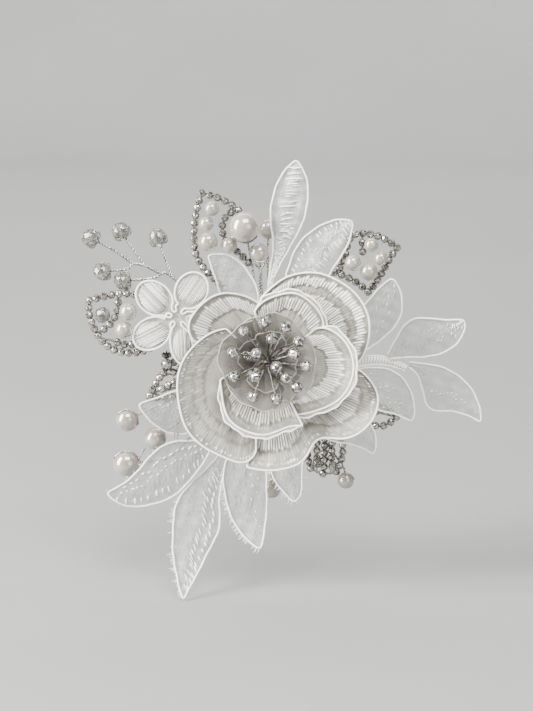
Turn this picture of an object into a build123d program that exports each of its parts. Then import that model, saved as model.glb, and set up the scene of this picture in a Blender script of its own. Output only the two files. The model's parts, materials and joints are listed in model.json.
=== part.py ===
from build123d import *
import math
import os

os.makedirs("parts", exist_ok=True)

# Flower hair clip. Millimetres. +X to the wearer's view right, +Y towards the head, +Z up.
# The flower faces -Y. The origin lies on the clip's front arm, where the felt pad is glued to it.

# ---- driving dimensions -------------------------------------------------------------------
# clip
ARM_WIDTH = 9.0
ARM_THICKNESS = 0.8
ARM_TOP = 20.0
ARM_BOTTOM = -28.0
PIVOT_Y = 4.4
PIVOT_Z = 4.5
PIN_RADIUS = 0.6
PIN_CLEARANCE = 0.05
EAR_RADIUS = 2.2
EAR_THICKNESS = 0.8
PIN_HEAD_RADIUS = 1.1
PIN_HEAD_LENGTH = 0.5
JAW_WIDTH = 6.6
JAW_THICKNESS = 0.8
TOOTH_PITCH = 2.1
TOOTH_COUNT = 5
TOOTH_TIP_Y = 1.1
TOOTH_DEPTH = 0.6
TOOTH_THICKNESS = 0.7
SPRING_WIRE = 0.6
SPRING_RADIUS = 1.35
SPRING_PITCH = 0.75
SPRING_TURNS = 5
# backing
FELT_THICKNESS = 2.0
FELT_WIDTH = 46.0
FELT_HEIGHT = 42.0
COVER_WIDTH = 20.0
COVER_HEIGHT = 12.0
COVER_THICKNESS = 0.7
COVER_Z = -8.0
# lace
LACE = 0.6
PETAL = 0.45
BLOSSOM_Y = -6.6
# rose
ROSE_TILT = 9.0
ROSE_X = -2.0
ROSE_Y = -9.0
ROSE_Z = 3.5
SEAT_RADIUS = 9.0
OUTER_CURVE = 60.0
MIDDLE_CURVE = 32.0
CUP_CURVE = 15.0
LAYER_STEP = 0.8
# rhinestone chain
CHAIN_PITCH = 2.05
CUP_RADIUS = 1.0
CUP_HEIGHT = 0.9
CHAIN_LINK = 0.5
STONE_RADIUS = 0.92
STONE_HEIGHT = 0.6
CHAIN_BACK = -2.7
# wires and beads
WIRE_Y = -2.35
PEARL_WIRE = 0.25
TWIG_WIRE = 0.3
CRYSTAL_RADIUS = 2.45
STAMEN_WIRE = 0.25
STAMEN_CUP_RADIUS = 1.5
STAMEN_CUP_HEIGHT = 1.0
STAMEN_STONE_RADIUS = 1.35
STAMEN_STONE_HEIGHT = 1.0
HUB_HEIGHT = 8.5


def facing(y):
    """A plane that faces the viewer at depth y: its x is +X, its y is +Z."""
    return Plane(origin=(0, y, 0), x_dir=(1, 0, 0), z_dir=(0, -1, 0))


def side_plane(x):
    """A plane across the clip at x: its x is +Y, its y is +Z."""
    return Plane(origin=(x, 0, 0), x_dir=(0, 1, 0), z_dir=(1, 0, 0))


def write(piece, name):
    """Labels a finished sub-part and writes it."""
    piece.part.label = name
    export_step(piece.part, f"parts/{name}.step")


def wire_between(start, end, radius):
    """Adds a straight round wire between two points to the part being built."""
    run = Vector(*end) - Vector(*start)
    with BuildSketch(Plane(origin=start, z_dir=run)) as section:
        Circle(radius)
    extrude(section.sketch, amount=run.length)


def wire_route(points, radius):
    """Adds a round wire along straight runs, with a ball at each bend, to the part being built."""
    for start, end in zip(points, points[1:]):
        wire_between(start, end, radius)
    for bend in points[1:-1]:
        with Locations(bend):
            Sphere(radius)


# ---- clip ---------------------------------------------------------------------------------
# Upper arm: a flat strip with rounded ends and two ears that carry the pin.
with BuildPart() as clip_upper_arm:
    with BuildSketch(facing(ARM_THICKNESS)):
        with Locations((0, (ARM_TOP + ARM_BOTTOM) / 2)):
            RectangleRounded(ARM_WIDTH, ARM_TOP - ARM_BOTTOM, 3.0)
    extrude(amount=ARM_THICKNESS)
    for x in (-ARM_WIDTH / 2, ARM_WIDTH / 2 - EAR_THICKNESS):
        with BuildSketch(side_plane(x)):
            with BuildLine():
                Line((0.4, PIVOT_Z - 3.6), (PIVOT_Y, PIVOT_Z - EAR_RADIUS))
                ThreePointArc(
                    (PIVOT_Y, PIVOT_Z - EAR_RADIUS),
                    (PIVOT_Y + EAR_RADIUS, PIVOT_Z),
                    (PIVOT_Y, PIVOT_Z + EAR_RADIUS),
                )
                Line((PIVOT_Y, PIVOT_Z + EAR_RADIUS), (0.4, PIVOT_Z + 3.6))
                Line((0.4, PIVOT_Z + 3.6), (0.4, PIVOT_Z - 3.6))
            make_face()
            with Locations((PIVOT_Y, PIVOT_Z)):
                Circle(PIN_RADIUS, mode=Mode.SUBTRACT)
        extrude(amount=EAR_THICKNESS)
write(clip_upper_arm, "clip_upper_arm")

# Lower jaw: nose, flat back, curve over the hinge and raised thumb tab, in one bent strip.
JAW_NOSE = (1.3, -27.0)
JAW_BEND = (6.6, -16.0)
JAW_FLAT_TOP = (6.6, 0.0)
JAW_CREST = (7.4, 7.5)
JAW_TAB_END = (12.8, 19.0)
with BuildPart() as clip_lower_jaw:
    with BuildSketch(side_plane(-JAW_WIDTH / 2)):
        with BuildLine():
            inner = Polyline(JAW_NOSE, JAW_BEND, JAW_FLAT_TOP, JAW_CREST, JAW_TAB_END)
            offset(inner, amount=JAW_THICKNESS, side=Side.RIGHT)
        make_face()
    extrude(amount=JAW_WIDTH)
    for x in (-JAW_WIDTH / 2, JAW_WIDTH / 2 - EAR_THICKNESS):
        with BuildSketch(side_plane(x)):
            with BuildLine():
                Line((7.2, PIVOT_Z - 4.0), (PIVOT_Y, PIVOT_Z - EAR_RADIUS))
                ThreePointArc(
                    (PIVOT_Y, PIVOT_Z - EAR_RADIUS),
                    (PIVOT_Y - EAR_RADIUS, PIVOT_Z),
                    (PIVOT_Y, PIVOT_Z + EAR_RADIUS),
                )
                Line((PIVOT_Y, PIVOT_Z + EAR_RADIUS), (7.8, PIVOT_Z + 3.4))
                Line((7.8, PIVOT_Z + 3.4), (7.2, PIVOT_Z - 4.0))
            make_face()
            with Locations((PIVOT_Y, PIVOT_Z)):
                Circle(PIN_RADIUS + PIN_CLEARANCE, mode=Mode.SUBTRACT)
        extrude(amount=EAR_THICKNESS)
    teeth = [JAW_BEND, JAW_NOSE]
    for i in range(TOOTH_COUNT):
        teeth.append((TOOTH_TIP_Y, JAW_NOSE[1] + 0.6 + i * TOOTH_PITCH))
        teeth.append((TOOTH_TIP_Y + TOOTH_DEPTH, JAW_NOSE[1] + 0.6 + (i + 0.5) * TOOTH_PITCH))
    for x in (-JAW_WIDTH / 2, JAW_WIDTH / 2 - TOOTH_THICKNESS):
        with BuildSketch(side_plane(x)):
            with BuildLine():
                Polyline(*teeth, close=True)
            make_face()
        extrude(amount=TOOTH_THICKNESS)
write(clip_lower_jaw, "clip_lower_jaw")

# Hinge pin with a head at each end.
with BuildPart() as hinge_pin:
    pin_length = ARM_WIDTH
    with BuildSketch(side_plane(-pin_length / 2)):
        with Locations((PIVOT_Y, PIVOT_Z)):
            Circle(PIN_RADIUS)
    extrude(amount=pin_length)
    for x in (-pin_length / 2 - PIN_HEAD_LENGTH, pin_length / 2):
        with BuildSketch(side_plane(x)):
            with Locations((PIVOT_Y, PIVOT_Z)):
                Circle(PIN_HEAD_RADIUS)
        extrude(amount=PIN_HEAD_LENGTH)
write(hinge_pin, "hinge_pin")

# Torsion spring: a coil round the pin, one leg on the arm and one under the thumb tab.
with BuildPart() as torsion_spring:
    coil_length = SPRING_PITCH * SPRING_TURNS
    with BuildLine():
        coil = Helix(
            pitch=SPRING_PITCH,
            height=coil_length,
            radius=SPRING_RADIUS,
            center=(-coil_length / 2, PIVOT_Y, PIVOT_Z),
            direction=(1, 0, 0),
        )
    with BuildSketch(Plane(origin=coil @ 0, z_dir=coil % 0)):
        Circle(SPRING_WIRE / 2)
    sweep(is_frenet=True)
    with Locations(coil @ 0, coil @ 1):
        Sphere(SPRING_WIRE / 2)
    wire_between(coil @ 0, (-coil_length / 2, ARM_THICKNESS + 0.6, ARM_TOP - 5), SPRING_WIRE / 2)
    wire_between(coil @ 1, (coil_length / 2, PIVOT_Y + 4.3, ARM_TOP - 7), SPRING_WIRE / 2)
write(torsion_spring, "torsion_spring")

# ---- backing ------------------------------------------------------------------------------
with BuildPart() as felt_pad:
    with BuildSketch(facing(0)):
        Ellipse(FELT_WIDTH / 2, FELT_HEIGHT / 2)
    extrude(amount=FELT_THICKNESS)
write(felt_pad, "felt_pad")

# The cover strip lies over the arm and down to the felt on both sides of it.
with BuildPart() as felt_cover_strip:
    with BuildSketch(facing(ARM_THICKNESS + COVER_THICKNESS)):
        with Locations((0, COVER_Z)):
            RectangleRounded(COVER_WIDTH, COVER_HEIGHT, 2.0)
    extrude(amount=ARM_THICKNESS + COVER_THICKNESS)
    with Locations((0, ARM_THICKNESS / 2, COVER_Z)):
        Box(ARM_WIDTH, ARM_THICKNESS, COVER_HEIGHT, mode=Mode.SUBTRACT)
write(felt_cover_strip, "felt_cover_strip")

# The rose's own plane: its x is +X, its y climbs the rose, its normal is the rose's axis.
tilt = math.radians(ROSE_TILT)
ROSE = Plane(
    origin=(ROSE_X, ROSE_Y, ROSE_Z),
    x_dir=(1, 0, 0),
    z_dir=(0, -math.cos(tilt), math.sin(tilt)),
)

with BuildPart() as rose_seat:
    with BuildSketch(facing(-FELT_THICKNESS)):
        with Locations((ROSE_X, ROSE_Z)):
            Circle(SEAT_RADIUS)
    extrude(amount=12)
    split(bisect_by=ROSE.offset(-0.4), keep=Keep.BOTTOM)
write(rose_seat, "rose_seat")


# ---- lace leaves --------------------------------------------------------------------------
def curl_into_sheet(base, tip, depth, curl, thickness):
    """Keeps of the part being built a sheet that lies flat at the base and curls to the tip."""
    run = Vector(tip[0] - base[0], 0, tip[1] - base[1])
    radius = (run.length**2 + curl**2) / (2 * abs(curl))
    centre_y = depth - math.copysign(radius, curl)
    across = Vector(run.Z, 0, -run.X).normalized()
    axis_plane = Plane(origin=(base[0], centre_y, base[1]), z_dir=across)
    with BuildSketch(axis_plane) as ring:
        Circle(radius + thickness / 2)
        Circle(radius - thickness / 2, mode=Mode.SUBTRACT)
    extrude(ring.sketch, amount=40, both=True, mode=Mode.INTERSECT)


def lace_leaf(name, base, one_edge, tip, other_edge, depth, curl):
    """A pointed leaf whose edges run from a narrow base to the tip, seen from the front."""
    half = 0.8
    run = Vector(one_edge[0][0] - other_edge[-1][0], one_edge[0][1] - other_edge[-1][1]).normalized()
    start = (base[0] + half * run.X, base[1] + half * run.Y)
    end = (base[0] - half * run.X, base[1] - half * run.Y)
    with BuildPart() as leaf:
        with BuildSketch(facing(depth + 4 + abs(curl))):
            with BuildLine():
                Spline(start, *one_edge, tip)
                Spline(tip, *other_edge, end)
                Line(end, start)
            make_face()
        extrude(amount=2 * (4 + abs(curl)))
        curl_into_sheet(base, tip, depth, curl, LACE)
    write(leaf, name)


lace_leaf(
    "lace_leaf_top",
    (-1, 15),
    [(-1.8, 24), (-0.6, 34), (-1.2, 43), (1.4, 52)],
    (5.6, 57),
    [(8.9, 48), (5.5, 36), (2.0, 30)],
    -4.6,
    -1.5,
)
lace_leaf(
    "lace_leaf_top_right",
    (3, 16),
    [(3.5, 28), (8, 36.5), (13, 40)],
    (20.8, 41),
    [(20, 36), (17, 30), (13, 24)],
    -5.6,
    1.0,
)
lace_leaf(
    "lace_leaf_upper_left",
    (-8, 12),
    [(-14.5, 20), (-16.5, 27)],
    (-18.3, 31.5),
    [(-11, 30.8), (-7.5, 27.5), (-4.5, 20)],
    -5.6,
    1.0,
)
lace_leaf(
    "lace_leaf_right_upper",
    (19, 2),
    [(20, 12), (25, 19), (28.7, 23.5)],
    (31.5, 25.5),
    [(34.3, 18.5), (33, 13), (27, 7)],
    -5.3,
    2.0,
)
lace_leaf(
    "lace_leaf_right",
    (31, 3.4),
    [(33, 9), (36.5, 13.5), (44, 14.2)],
    (51, 14.4),
    [(50.5, 9.5), (47.5, 6), (42, 3.6), (36, 3.4)],
    -5.0,
    3.0,
)
lace_leaf(
    "lace_leaf_right_long",
    (36.5, 1.4),
    [(41, 1.4), (46.5, 0.3), (51.5, -3), (55, -8)],
    (56, -14),
    [(51.5, -12), (46.5, -11.3), (42.5, -11.0), (40, -5)],
    -5.0,
    4.0,
)
lace_leaf(
    "lace_leaf_right_small",
    (20, -2),
    [(26, 0.4), (31, 0), (36, -4), (37.8, -9)],
    (37.2, -14),
    [(32, -12), (26, -10.5)],
    -4.6,
    4.0,
)
lace_leaf(
    "lace_leaf_bottom_right",
    (12, -11),
    [(20, -11), (26, -14.5), (27.6, -19)],
    (26.6, -22.6),
    [(21, -20.4), (15, -19.5)],
    -5.6,
    5.0,
)
lace_leaf(
    "lace_leaf_bottom_small",
    (4, -13),
    [(8.6, -20), (7.5, -28), (7.2, -33)],
    (5.4, -35.6),
    [(1, -31.5), (-1.4, -27), (-0.5, -20)],
    -4.6,
    8.0,
)
lace_leaf(
    "lace_leaf_bottom",
    (-6, -15),
    [(-3, -22), (-2.2, -32), (-2.6, -42)],
    (-3.8, -47.8),
    [(-9.2, -44), (-13.4, -35.5), (-14, -29), (-11, -20)],
    -5.6,
    10.0,
)
lace_leaf(
    "lace_leaf_bottom_left",
    (-13, -17),
    [(-13.5, -27), (-15.2, -36), (-15.2, -43), (-18.5, -50), (-22, -56)],
    (-24.8, -60.6),
    [(-27.4, -52), (-27.9, -43), (-26.5, -36), (-20, -29)],
    -4.6,
    16.0,
)
lace_leaf(
    "lace_leaf_lower_left",
    (-14, -16),
    [(-21, -19.8), (-29, -20.2), (-37, -27)],
    (-45.8, -32.6),
    [(-43, -35.6), (-36, -37.2), (-28, -35), (-21, -28)],
    -5.6,
    7.0,
)
lace_leaf(
    "lace_leaf_left_small",
    (-17, -8),
    [(-26, -5.8), (-32, -7.5)],
    (-37, -8.8),
    [(-34.4, -13.4), (-30, -17), (-24, -18), (-20, -15)],
    -4.6,
    4.0,
)

# The stitched stem that carries the two right-hand leaves.
with BuildPart() as lace_spray_stem:
    with BuildSketch(facing(-4.0)):
        with BuildLine():
            Spline((19, 2.2), (26, 3.6), (31, 3.0), (36, 0.6))
            Line((36, 0.6), (35.4, -0.6))
            Spline((35.4, -0.6), (30, 1.0), (25, 1.0), (19, -0.6))
            Line((19, -0.6), (19, 2.2))
        make_face()
    extrude(amount=0.7)
write(lace_spray_stem, "lace_spray_stem")


# ---- rose ---------------------------------------------------------------------------------
def petal(name, rim, foot, curve, rise):
    """A petal between its rim and its foot, on a bowl of the given curve that starts at rise."""
    with BuildPart() as sheet:
        with BuildSketch(ROSE.offset(-6)):
            with BuildLine():
                Spline(*rim)
                Line(rim[-1], foot[0])
                Line(foot[0], foot[1])
                Line(foot[1], rim[0])
            make_face()
        extrude(amount=6 + rise + 22)
        bowl_centre = ROSE.from_local_coords(Vector(0, 0, rise + curve))
        with Locations(bowl_centre):
            Sphere(curve, mode=Mode.INTERSECT)
            Sphere(curve - PETAL, mode=Mode.SUBTRACT)
        split(bisect_by=ROSE.offset(rise + curve * 0.8), keep=Keep.BOTTOM)
    write(sheet, name)


OUTER_PETALS = {
    "rose_petal_top_right": [
        (-2, 16.5), (0.9, 19.3), (6.6, 22.8), (14.2, 23.1),
        (21.7, 19.3), (26.1, 13.6), (26.9, 6.1), (23.4, -1.5),
    ],
    "rose_petal_upper_left": [
        (-19.5, 5.0), (-21, 9), (-16.9, 15.5), (-11.2, 18), (-6.9, 17.4), (-1.4, 14.5)
    ],
    "rose_petal_right_outer": [
        (23.2, -2), (27.5, -5.5), (29.2, -10), (27.1, -16.1), (20.6, -20.4),
        (13.1, -21.2), (9.7, -26.0), (2.8, -28.8), (-5.6, -28.1),
    ],
    "rose_petal_left": [
        (-3.0, -24), (-5.5, -26.6), (-12.6, -25), (-20.7, -19.1),
        (-23.6, -11), (-23.4, -2.3), (-18.5, 5), (-11.0, 8.5),
    ],
}
OUTER_FEET = {
    "rose_petal_top_right": [(7, 1), (2, 7)],
    "rose_petal_upper_left": [(-1, 7), (-6, 4)],
    "rose_petal_right_outer": [(0, -8), (7, -3)],
    "rose_petal_left": [(-6, 3.5), (-3, -7)],
}
MIDDLE_PETALS = {
    "rose_petal_upper": [
        (-3.5, 13.0), (-1.0, 15.8), (3, 17.6), (7.5, 17.9),
        (11.5, 15.6), (14.4, 11.5), (14.6, 6.5), (12.8, 0.7),
    ],
    "rose_petal_right_inner": [
        (12.6, 8.4), (15.4, 8.8), (19.2, 6.6), (22.2, 1.5), (22.2, -4), (18.6, -10), (13, -13), (5.0, -14.5)
    ],
    "rose_petal_lower": [
        (9.3, -17.0), (4, -17.8), (-1, -19.3), (-6, -18.2), (-10.5, -14.7), (-12.0, -9.5), (-12.6, -5)
    ],
}
MIDDLE_FEET = {
    "rose_petal_upper": [(5, 1), (0, 5)],
    "rose_petal_right_inner": [(2, -5), (5, 2)],
    "rose_petal_lower": [(-5, -1), (3, -5)],
}
for layer, name in enumerate(OUTER_PETALS):
    petal(name, OUTER_PETALS[name], OUTER_FEET[name], OUTER_CURVE, layer * LAYER_STEP)
for layer, name in enumerate(MIDDLE_PETALS):
    rise = (len(OUTER_PETALS) + layer) * LAYER_STEP
    petal(name, MIDDLE_PETALS[name], MIDDLE_FEET[name], MIDDLE_CURVE, rise)

# Four sheer cup petals stand round the stamens, each over a quarter of the bowl and a little more.
CUP_ANGLES = {
    "cup_petal_top": 80,
    "cup_petal_right": -15,
    "cup_petal_bottom": -100,
    "cup_petal_left": 165,
}
for layer, name in enumerate(CUP_ANGLES):
    rim = []
    for step, reach in ((-55, 11.4), (-30, 12.4), (0, 12.8), (30, 12.4), (55, 11.4)):
        angle = math.radians(CUP_ANGLES[name] + step)
        rim.append((reach * math.cos(angle), reach * math.sin(angle)))
    foot = []
    for step in (25, -25):
        angle = math.radians(CUP_ANGLES[name] + step)
        foot.append((3.4 * math.cos(angle), 3.4 * math.sin(angle)))
    rise = (len(OUTER_PETALS) + len(MIDDLE_PETALS) + layer) * LAYER_STEP
    petal(name, rim, foot, CUP_CURVE, rise)

# Small blossom: five lobes joined at the middle.
BLOSSOM = (-26.3, 14.8)
LOBES = [
    (140, 8.0, 5.4, 4.3),
    (62, 8.2, 5.2, 4.3),
    (213, 8.3, 5.4, 4.2),
    (278, 7.6, 5.6, 3.0),
    (345, 4.6, 3.6, 2.6),
]
with BuildPart() as small_blossom:
    with BuildSketch(facing(BLOSSOM_Y)):
        for angle, reach, long_half, wide_half in LOBES:
            turn = math.radians(angle)
            spot = (BLOSSOM[0] + reach * math.cos(turn), BLOSSOM[1] + reach * math.sin(turn))
            with Locations(Location((spot[0], spot[1], 0), (0, 0, angle))):
                Ellipse(long_half, wide_half)
        with Locations(BLOSSOM):
            Circle(3.4)
    extrude(amount=LACE)
write(small_blossom, "small_blossom")


# ---- rhinestone-chain leaves --------------------------------------------------------------
def seat_edge(x, z):
    """The point on the edge of the rose seat that lies towards (x, z), seen from the front."""
    out = Vector(x - ROSE_X, z - ROSE_Z).normalized() * SEAT_RADIUS
    return (ROSE_X + out.X, ROSE_Z + out.Y)


def chain_leaf(name, routes, root):
    """A flat leaf outline of cup chain with a stem to the seat, and its stones as a second node."""
    paths = []
    spots = []
    for route in routes:
        path = Spline(*route) if len(route) > 2 else Line(*route)
        paths.append(path)
        count = round(path.length / CHAIN_PITCH)
        for i in range(count + 1):
            spot = path @ (i / count)
            if all((spot - other).length > 0.93 * CHAIN_PITCH for other in spots):
                spots.append(spot)
    places = [(spot.X, spot.Y) for spot in spots]
    stem = Line(root, seat_edge(*root))
    with BuildPart() as frame:
        with BuildSketch(facing(CHAIN_BACK)):
            with Locations(*places):
                Circle(CUP_RADIUS)
            trace(paths, line_width=CHAIN_LINK)
            trace(stem, line_width=CHAIN_LINK)
        extrude(amount=CUP_HEIGHT)
    write(frame, "rhinestone_frame_" + name)
    with BuildPart() as stones:
        with BuildSketch(facing(CHAIN_BACK - CUP_HEIGHT)):
            with Locations(*places):
                RegularPolygon(STONE_RADIUS, 8)
        extrude(amount=STONE_HEIGHT, taper=28)
    write(stones, "rhinestones_" + name)


chain_leaf(
    "upper_left",
    [
        [(-12, 20.5), (-18.4, 26.5), (-21.4, 31.5), (-21.8, 37), (-21, 43.5), (-19.7, 47.8)],
        [(-19.7, 47.8), (-14.4, 46.2), (-9.8, 43.2)],
        [(-9.8, 43.2), (-14.0, 39.8), (-13.8, 36.2), (-9.5, 31.4), (-7.2, 29)],
    ],
    (-12, 20.5),
)
chain_leaf(
    "left",
    [
        [(-31, 16), (-34, 18.5), (-38, 20.2), (-44, 20.2), (-50.4, 18.6)],
        [(-50.4, 18.6), (-50.4, 15), (-48.6, 9.8), (-45, 5.6), (-41, 4.2), (-36, 4.6), (-31, 8)],
        [(-42.6, 20.3), (-43.8, 13.4), (-48.4, 9.6)],
        [(-46.9, 7.6), (-44.2, 7.5), (-40.8, 6.4), (-36.4, 6.9), (-31, 8)],
    ],
    (-31, 16),
)
chain_leaf(
    "upper_right",
    [
        [(16, 26.3), (18.6, 30), (21.2, 36.6), (25.3, 36.8), (29.8, 35.3), (32.9, 33.1)],
        [(32.9, 33.1), (31, 30.2), (29.3, 27), (27.4, 23.8), (25.2, 21)],
        [(25.2, 21), (20.2, 24.7), (16, 26.3)],
        [(23.4, 36.9), (23.6, 32)],
    ],
    (16, 26.3),
)
chain_leaf(
    "lower_left",
    [
        [(-22, 3.2), (-27.4, 1.6), (-31.4, -2.6), (-34.4, -8)],
        [(-34.4, -8), (-29.5, -8.4), (-24, -7)],
        [(-24, -2), (-34.4, -8)],
        [(-24, 0.4), (-31.6, -3.0)],
        [(-24, -4.6), (-30.4, -6.6)],
    ],
    (-22, 3.2),
)
chain_leaf(
    "bottom",
    [
        [(10.5, -17), (9.0, -22), (9.9, -28.4)],
        [(9.9, -28.4), (13.6, -30), (17, -29.4)],
        [(17, -29.4), (18.6, -25), (17.5, -18)],
        [(13.8, -18), (13.6, -30)],
        [(11.6, -19), (11.6, -29.9)],
        [(15.9, -19), (15.4, -29.9)],
    ],
    (10.5, -17),
)
chain_leaf(
    "right",
    [
        [(22, -8.5), (28, -10.4), (33.4, -13.8)],
        [(33.4, -13.8), (29.6, -16.4), (24, -14)],
        [(24, -11.4), (33.2, -13.9)],
    ],
    (22, -8.5),
)

# Pearls and clear crystals wired over the chain leaves, as (x, z, radius).
LEAF_PEARLS = [
    (-16.9, 44.0, 2.0),
    (-18.4, 40.0, 2.0),
    (-17.9, 35.2, 2.6),
    (-12.3, 34.2, 2.2),
    (-39.6, 16.1, 2.4),
    (-40.9, 11.2, 2.4),
    (20.9, 29.4, 2.2),
    (25.2, 27.0, 2.4),
    (25.8, 34.2, 1.9),
    (28.4, 30.6, 1.9),
]
LEAF_CRYSTALS = [(-46.6, 15.2, 2.2), (11.6, -26.4, 1.4), (16.0, -27.2, 1.4)]
CHAIN_FRONT = CHAIN_BACK - CUP_HEIGHT - STONE_HEIGHT
with BuildPart() as leaf_pearls:
    for x, z, radius in LEAF_PEARLS:
        with Locations((x, CHAIN_FRONT - radius, z)):
            Sphere(radius)
write(leaf_pearls, "leaf_pearls")
with BuildPart() as leaf_crystals:
    for x, z, radius in LEAF_CRYSTALS:
        with Locations((x, CHAIN_FRONT - radius, z)):
            Sphere(radius)
write(leaf_crystals, "leaf_crystals")

# ---- wired pearls -------------------------------------------------------------------------
LARGE_PEARL = (-8.2, -8.6, 39.4)
LARGE_PEARL_RADIUS = 4.1
LARGE_PEARL_BEND = (-7.2, 33.5)
with BuildPart() as large_pearl:
    with Locations(LARGE_PEARL):
        Sphere(LARGE_PEARL_RADIUS)
write(large_pearl, "large_pearl")

# Each smaller pearl as its centre, its radius and the bend (x, z) of its wire.
WIRED_PEARLS = [
    ((-1.8, -0.6, 37.8), 2.8, (-1.9, 33.0)),
    ((-4.4, -3.9, 31.7), 2.7, (-3.9, 27.5)),
    ((-40.6, -3.0, -14.8), 3.2, (-35.5, -12.5)),
    ((-33.0, -2.4, -20.2), 3.1, (-28.0, -16.8)),
    ((-41.0, -3.0, -27.2), 3.8, (-29.0, -26.0)),
    ((19.6, -4.0, -31.8), 2.3, (19.3, -29.0)),
    ((-0.9, -3.0, -34.6), 2.5, (-1.0, -31.0)),
]
with BuildPart() as wired_pearls:
    for centre, radius, bend in WIRED_PEARLS:
        with Locations(centre):
            Sphere(radius)
write(wired_pearls, "wired_pearls")

# Each pearl's wire leaves the seat behind the chain leaves and ends on the pearl.
with BuildPart() as pearl_wires:
    for centre, radius, bend in [(LARGE_PEARL, LARGE_PEARL_RADIUS, LARGE_PEARL_BEND), *WIRED_PEARLS]:
        start = seat_edge(*bend)
        last = Vector(*centre) - Vector(bend[0], WIRE_Y, bend[1])
        end = Vector(*centre) - last.normalized() * radius
        wire_route([(start[0], WIRE_Y, start[1]), (bend[0], WIRE_Y, bend[1]), tuple(end)], PEARL_WIRE)
write(pearl_wires, "pearl_wires")

# ---- crystal sprig ------------------------------------------------------------------------
SPRIG_Y = WIRE_Y
SPRIG_STEM = [(-27.8, 24.8), (-30.9, 25.8), (-35.2, 28.0), (-38.5, 28.6)]
SPRIG_TWIGS = [
    [(-38.5, 28.6), (-43.5, 32.2), (-49.8, 35.6)],
    [(-35.2, 28.0), (-38.4, 32.6), (-41.6, 37.5)],
    [(-27.8, 24.8), (-29.8, 30.4), (-31.7, 35.8)],
    [(-38.5, 28.6), (-40.2, 27.0), (-46.8, 26.4)],
    [(-30.9, 25.8), (-33.0, 24.6), (-41.4, 23.8)],
]
with BuildPart() as sprig_wires:
    stem = [seat_edge(*SPRIG_STEM[0]), *SPRIG_STEM]
    wire_route([(x, SPRIG_Y, z) for x, z in stem], TWIG_WIRE)
    for twig in SPRIG_TWIGS:
        run = Vector(*twig[2]) - Vector(*twig[1])
        end = Vector(*twig[1]) + run * (1 - CRYSTAL_RADIUS / run.length)
        points = [twig[0], twig[1], (end.X, end.Y)]
        wire_route([(x, SPRIG_Y, z) for x, z in points], TWIG_WIRE)
        with Locations((twig[0][0], SPRIG_Y, twig[0][1])):
            Sphere(TWIG_WIRE)
write(sprig_wires, "sprig_wires")
with BuildPart() as sprig_crystals:
    for twig in SPRIG_TWIGS:
        with Locations((twig[2][0], SPRIG_Y, twig[2][1])):
            Sphere(CRYSTAL_RADIUS)
write(sprig_crystals, "sprig_crystals")

# Black faceted bead on a short pin above the lower-left chain leaf.
BEAD = (-29.6, -3.2, 3.5)
BEAD_RADIUS = 1.4
BEAD_HEIGHT = 1.6
BEAD_BORE = 0.35
with BuildPart() as black_bead:
    with BuildSketch(Plane.XY.offset(BEAD[2] - BEAD_HEIGHT / 2)):
        with Locations((BEAD[0], BEAD[1])):
            RegularPolygon(BEAD_RADIUS, 10)
            Circle(BEAD_BORE, mode=Mode.SUBTRACT)
    extrude(amount=BEAD_HEIGHT)
write(black_bead, "black_bead")
with BuildPart() as bead_pin:
    low = (BEAD[0], BEAD[1], 0.6)
    wire_route([(BEAD[0], BEAD[1], BEAD[2] + 1.4), low, (BEAD[0] + 1.2, BEAD[1], 0.0)], PEARL_WIRE)
write(bead_pin, "bead_pin")

# ---- stamens ------------------------------------------------------------------------------
# Places of the sixteen stones in the rose's own plane.
STAMENS = [
    (-0.6, 10.7), (4.9, 9.4), (-6.2, 8.2), (1.2, 6.4),
    (8.3, 5.6), (-8.9, 2.8), (-2.9, 2.5), (6.9, 2.4),
    (10.0, -0.8), (2.3, -1.1), (-8.7, -3.6), (-3.3, -3.7),
    (5.0, -3.9), (7.6, -6.4), (-3.8, -8.9), (2.3, -9.4),
]
BOUND_STAMEN = (-8.9, 2.8)


def stamen_height(x, y):
    """Height of a stamen's cup above the rose's plane: the middle ones stand proud."""
    return 16.2 - 0.014 * (x**2 + y**2)


def in_rose(x, y, height):
    """A point of the rose's own plane, in the frame of the whole part."""
    return tuple(ROSE.from_local_coords(Vector(x, y, height)))


with BuildPart() as stamen_wires:
    wire_between(in_rose(0, 0, -0.4), in_rose(0, 0, HUB_HEIGHT), 1.0)
    with Locations(in_rose(0, 0, HUB_HEIGHT)):
        Sphere(1.3)
    for x, y in STAMENS:
        wire_between(in_rose(0, 0, HUB_HEIGHT), in_rose(x, y, stamen_height(x, y)), STAMEN_WIRE)
write(stamen_wires, "stamen_wires")
with BuildPart() as stamen_cups:
    for x, y in STAMENS:
        base = in_rose(x, y, stamen_height(x, y))
        wire_between(base, in_rose(x, y, stamen_height(x, y) + STAMEN_CUP_HEIGHT), STAMEN_CUP_RADIUS)
write(stamen_cups, "stamen_cups")
with BuildPart() as stamen_stones:
    for x, y in STAMENS:
        with BuildSketch(ROSE.offset(stamen_height(x, y) + STAMEN_CUP_HEIGHT)):
            with Locations((x, y)):
                RegularPolygon(STAMEN_STONE_RADIUS, 8)
        extrude(amount=STAMEN_STONE_HEIGHT, taper=30)
write(stamen_stones, "stamen_stones")

# Binding coil wound round one stamen wire.
with BuildPart() as binding_coil:
    hub = Vector(*in_rose(0, 0, HUB_HEIGHT))
    away = Vector(*in_rose(*BOUND_STAMEN, stamen_height(*BOUND_STAMEN))) - hub
    with BuildSketch(Plane(origin=hub + away * 0.36, z_dir=away)):
        Circle(0.95)
        Circle(STAMEN_WIRE + 0.06, mode=Mode.SUBTRACT)
    extrude(amount=away.length * 0.26)
write(binding_coil, "binding_coil")
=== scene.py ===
import json
import math
import random

import bpy
import numpy as np
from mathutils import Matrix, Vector
from mathutils.bvhtree import BVHTree

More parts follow.
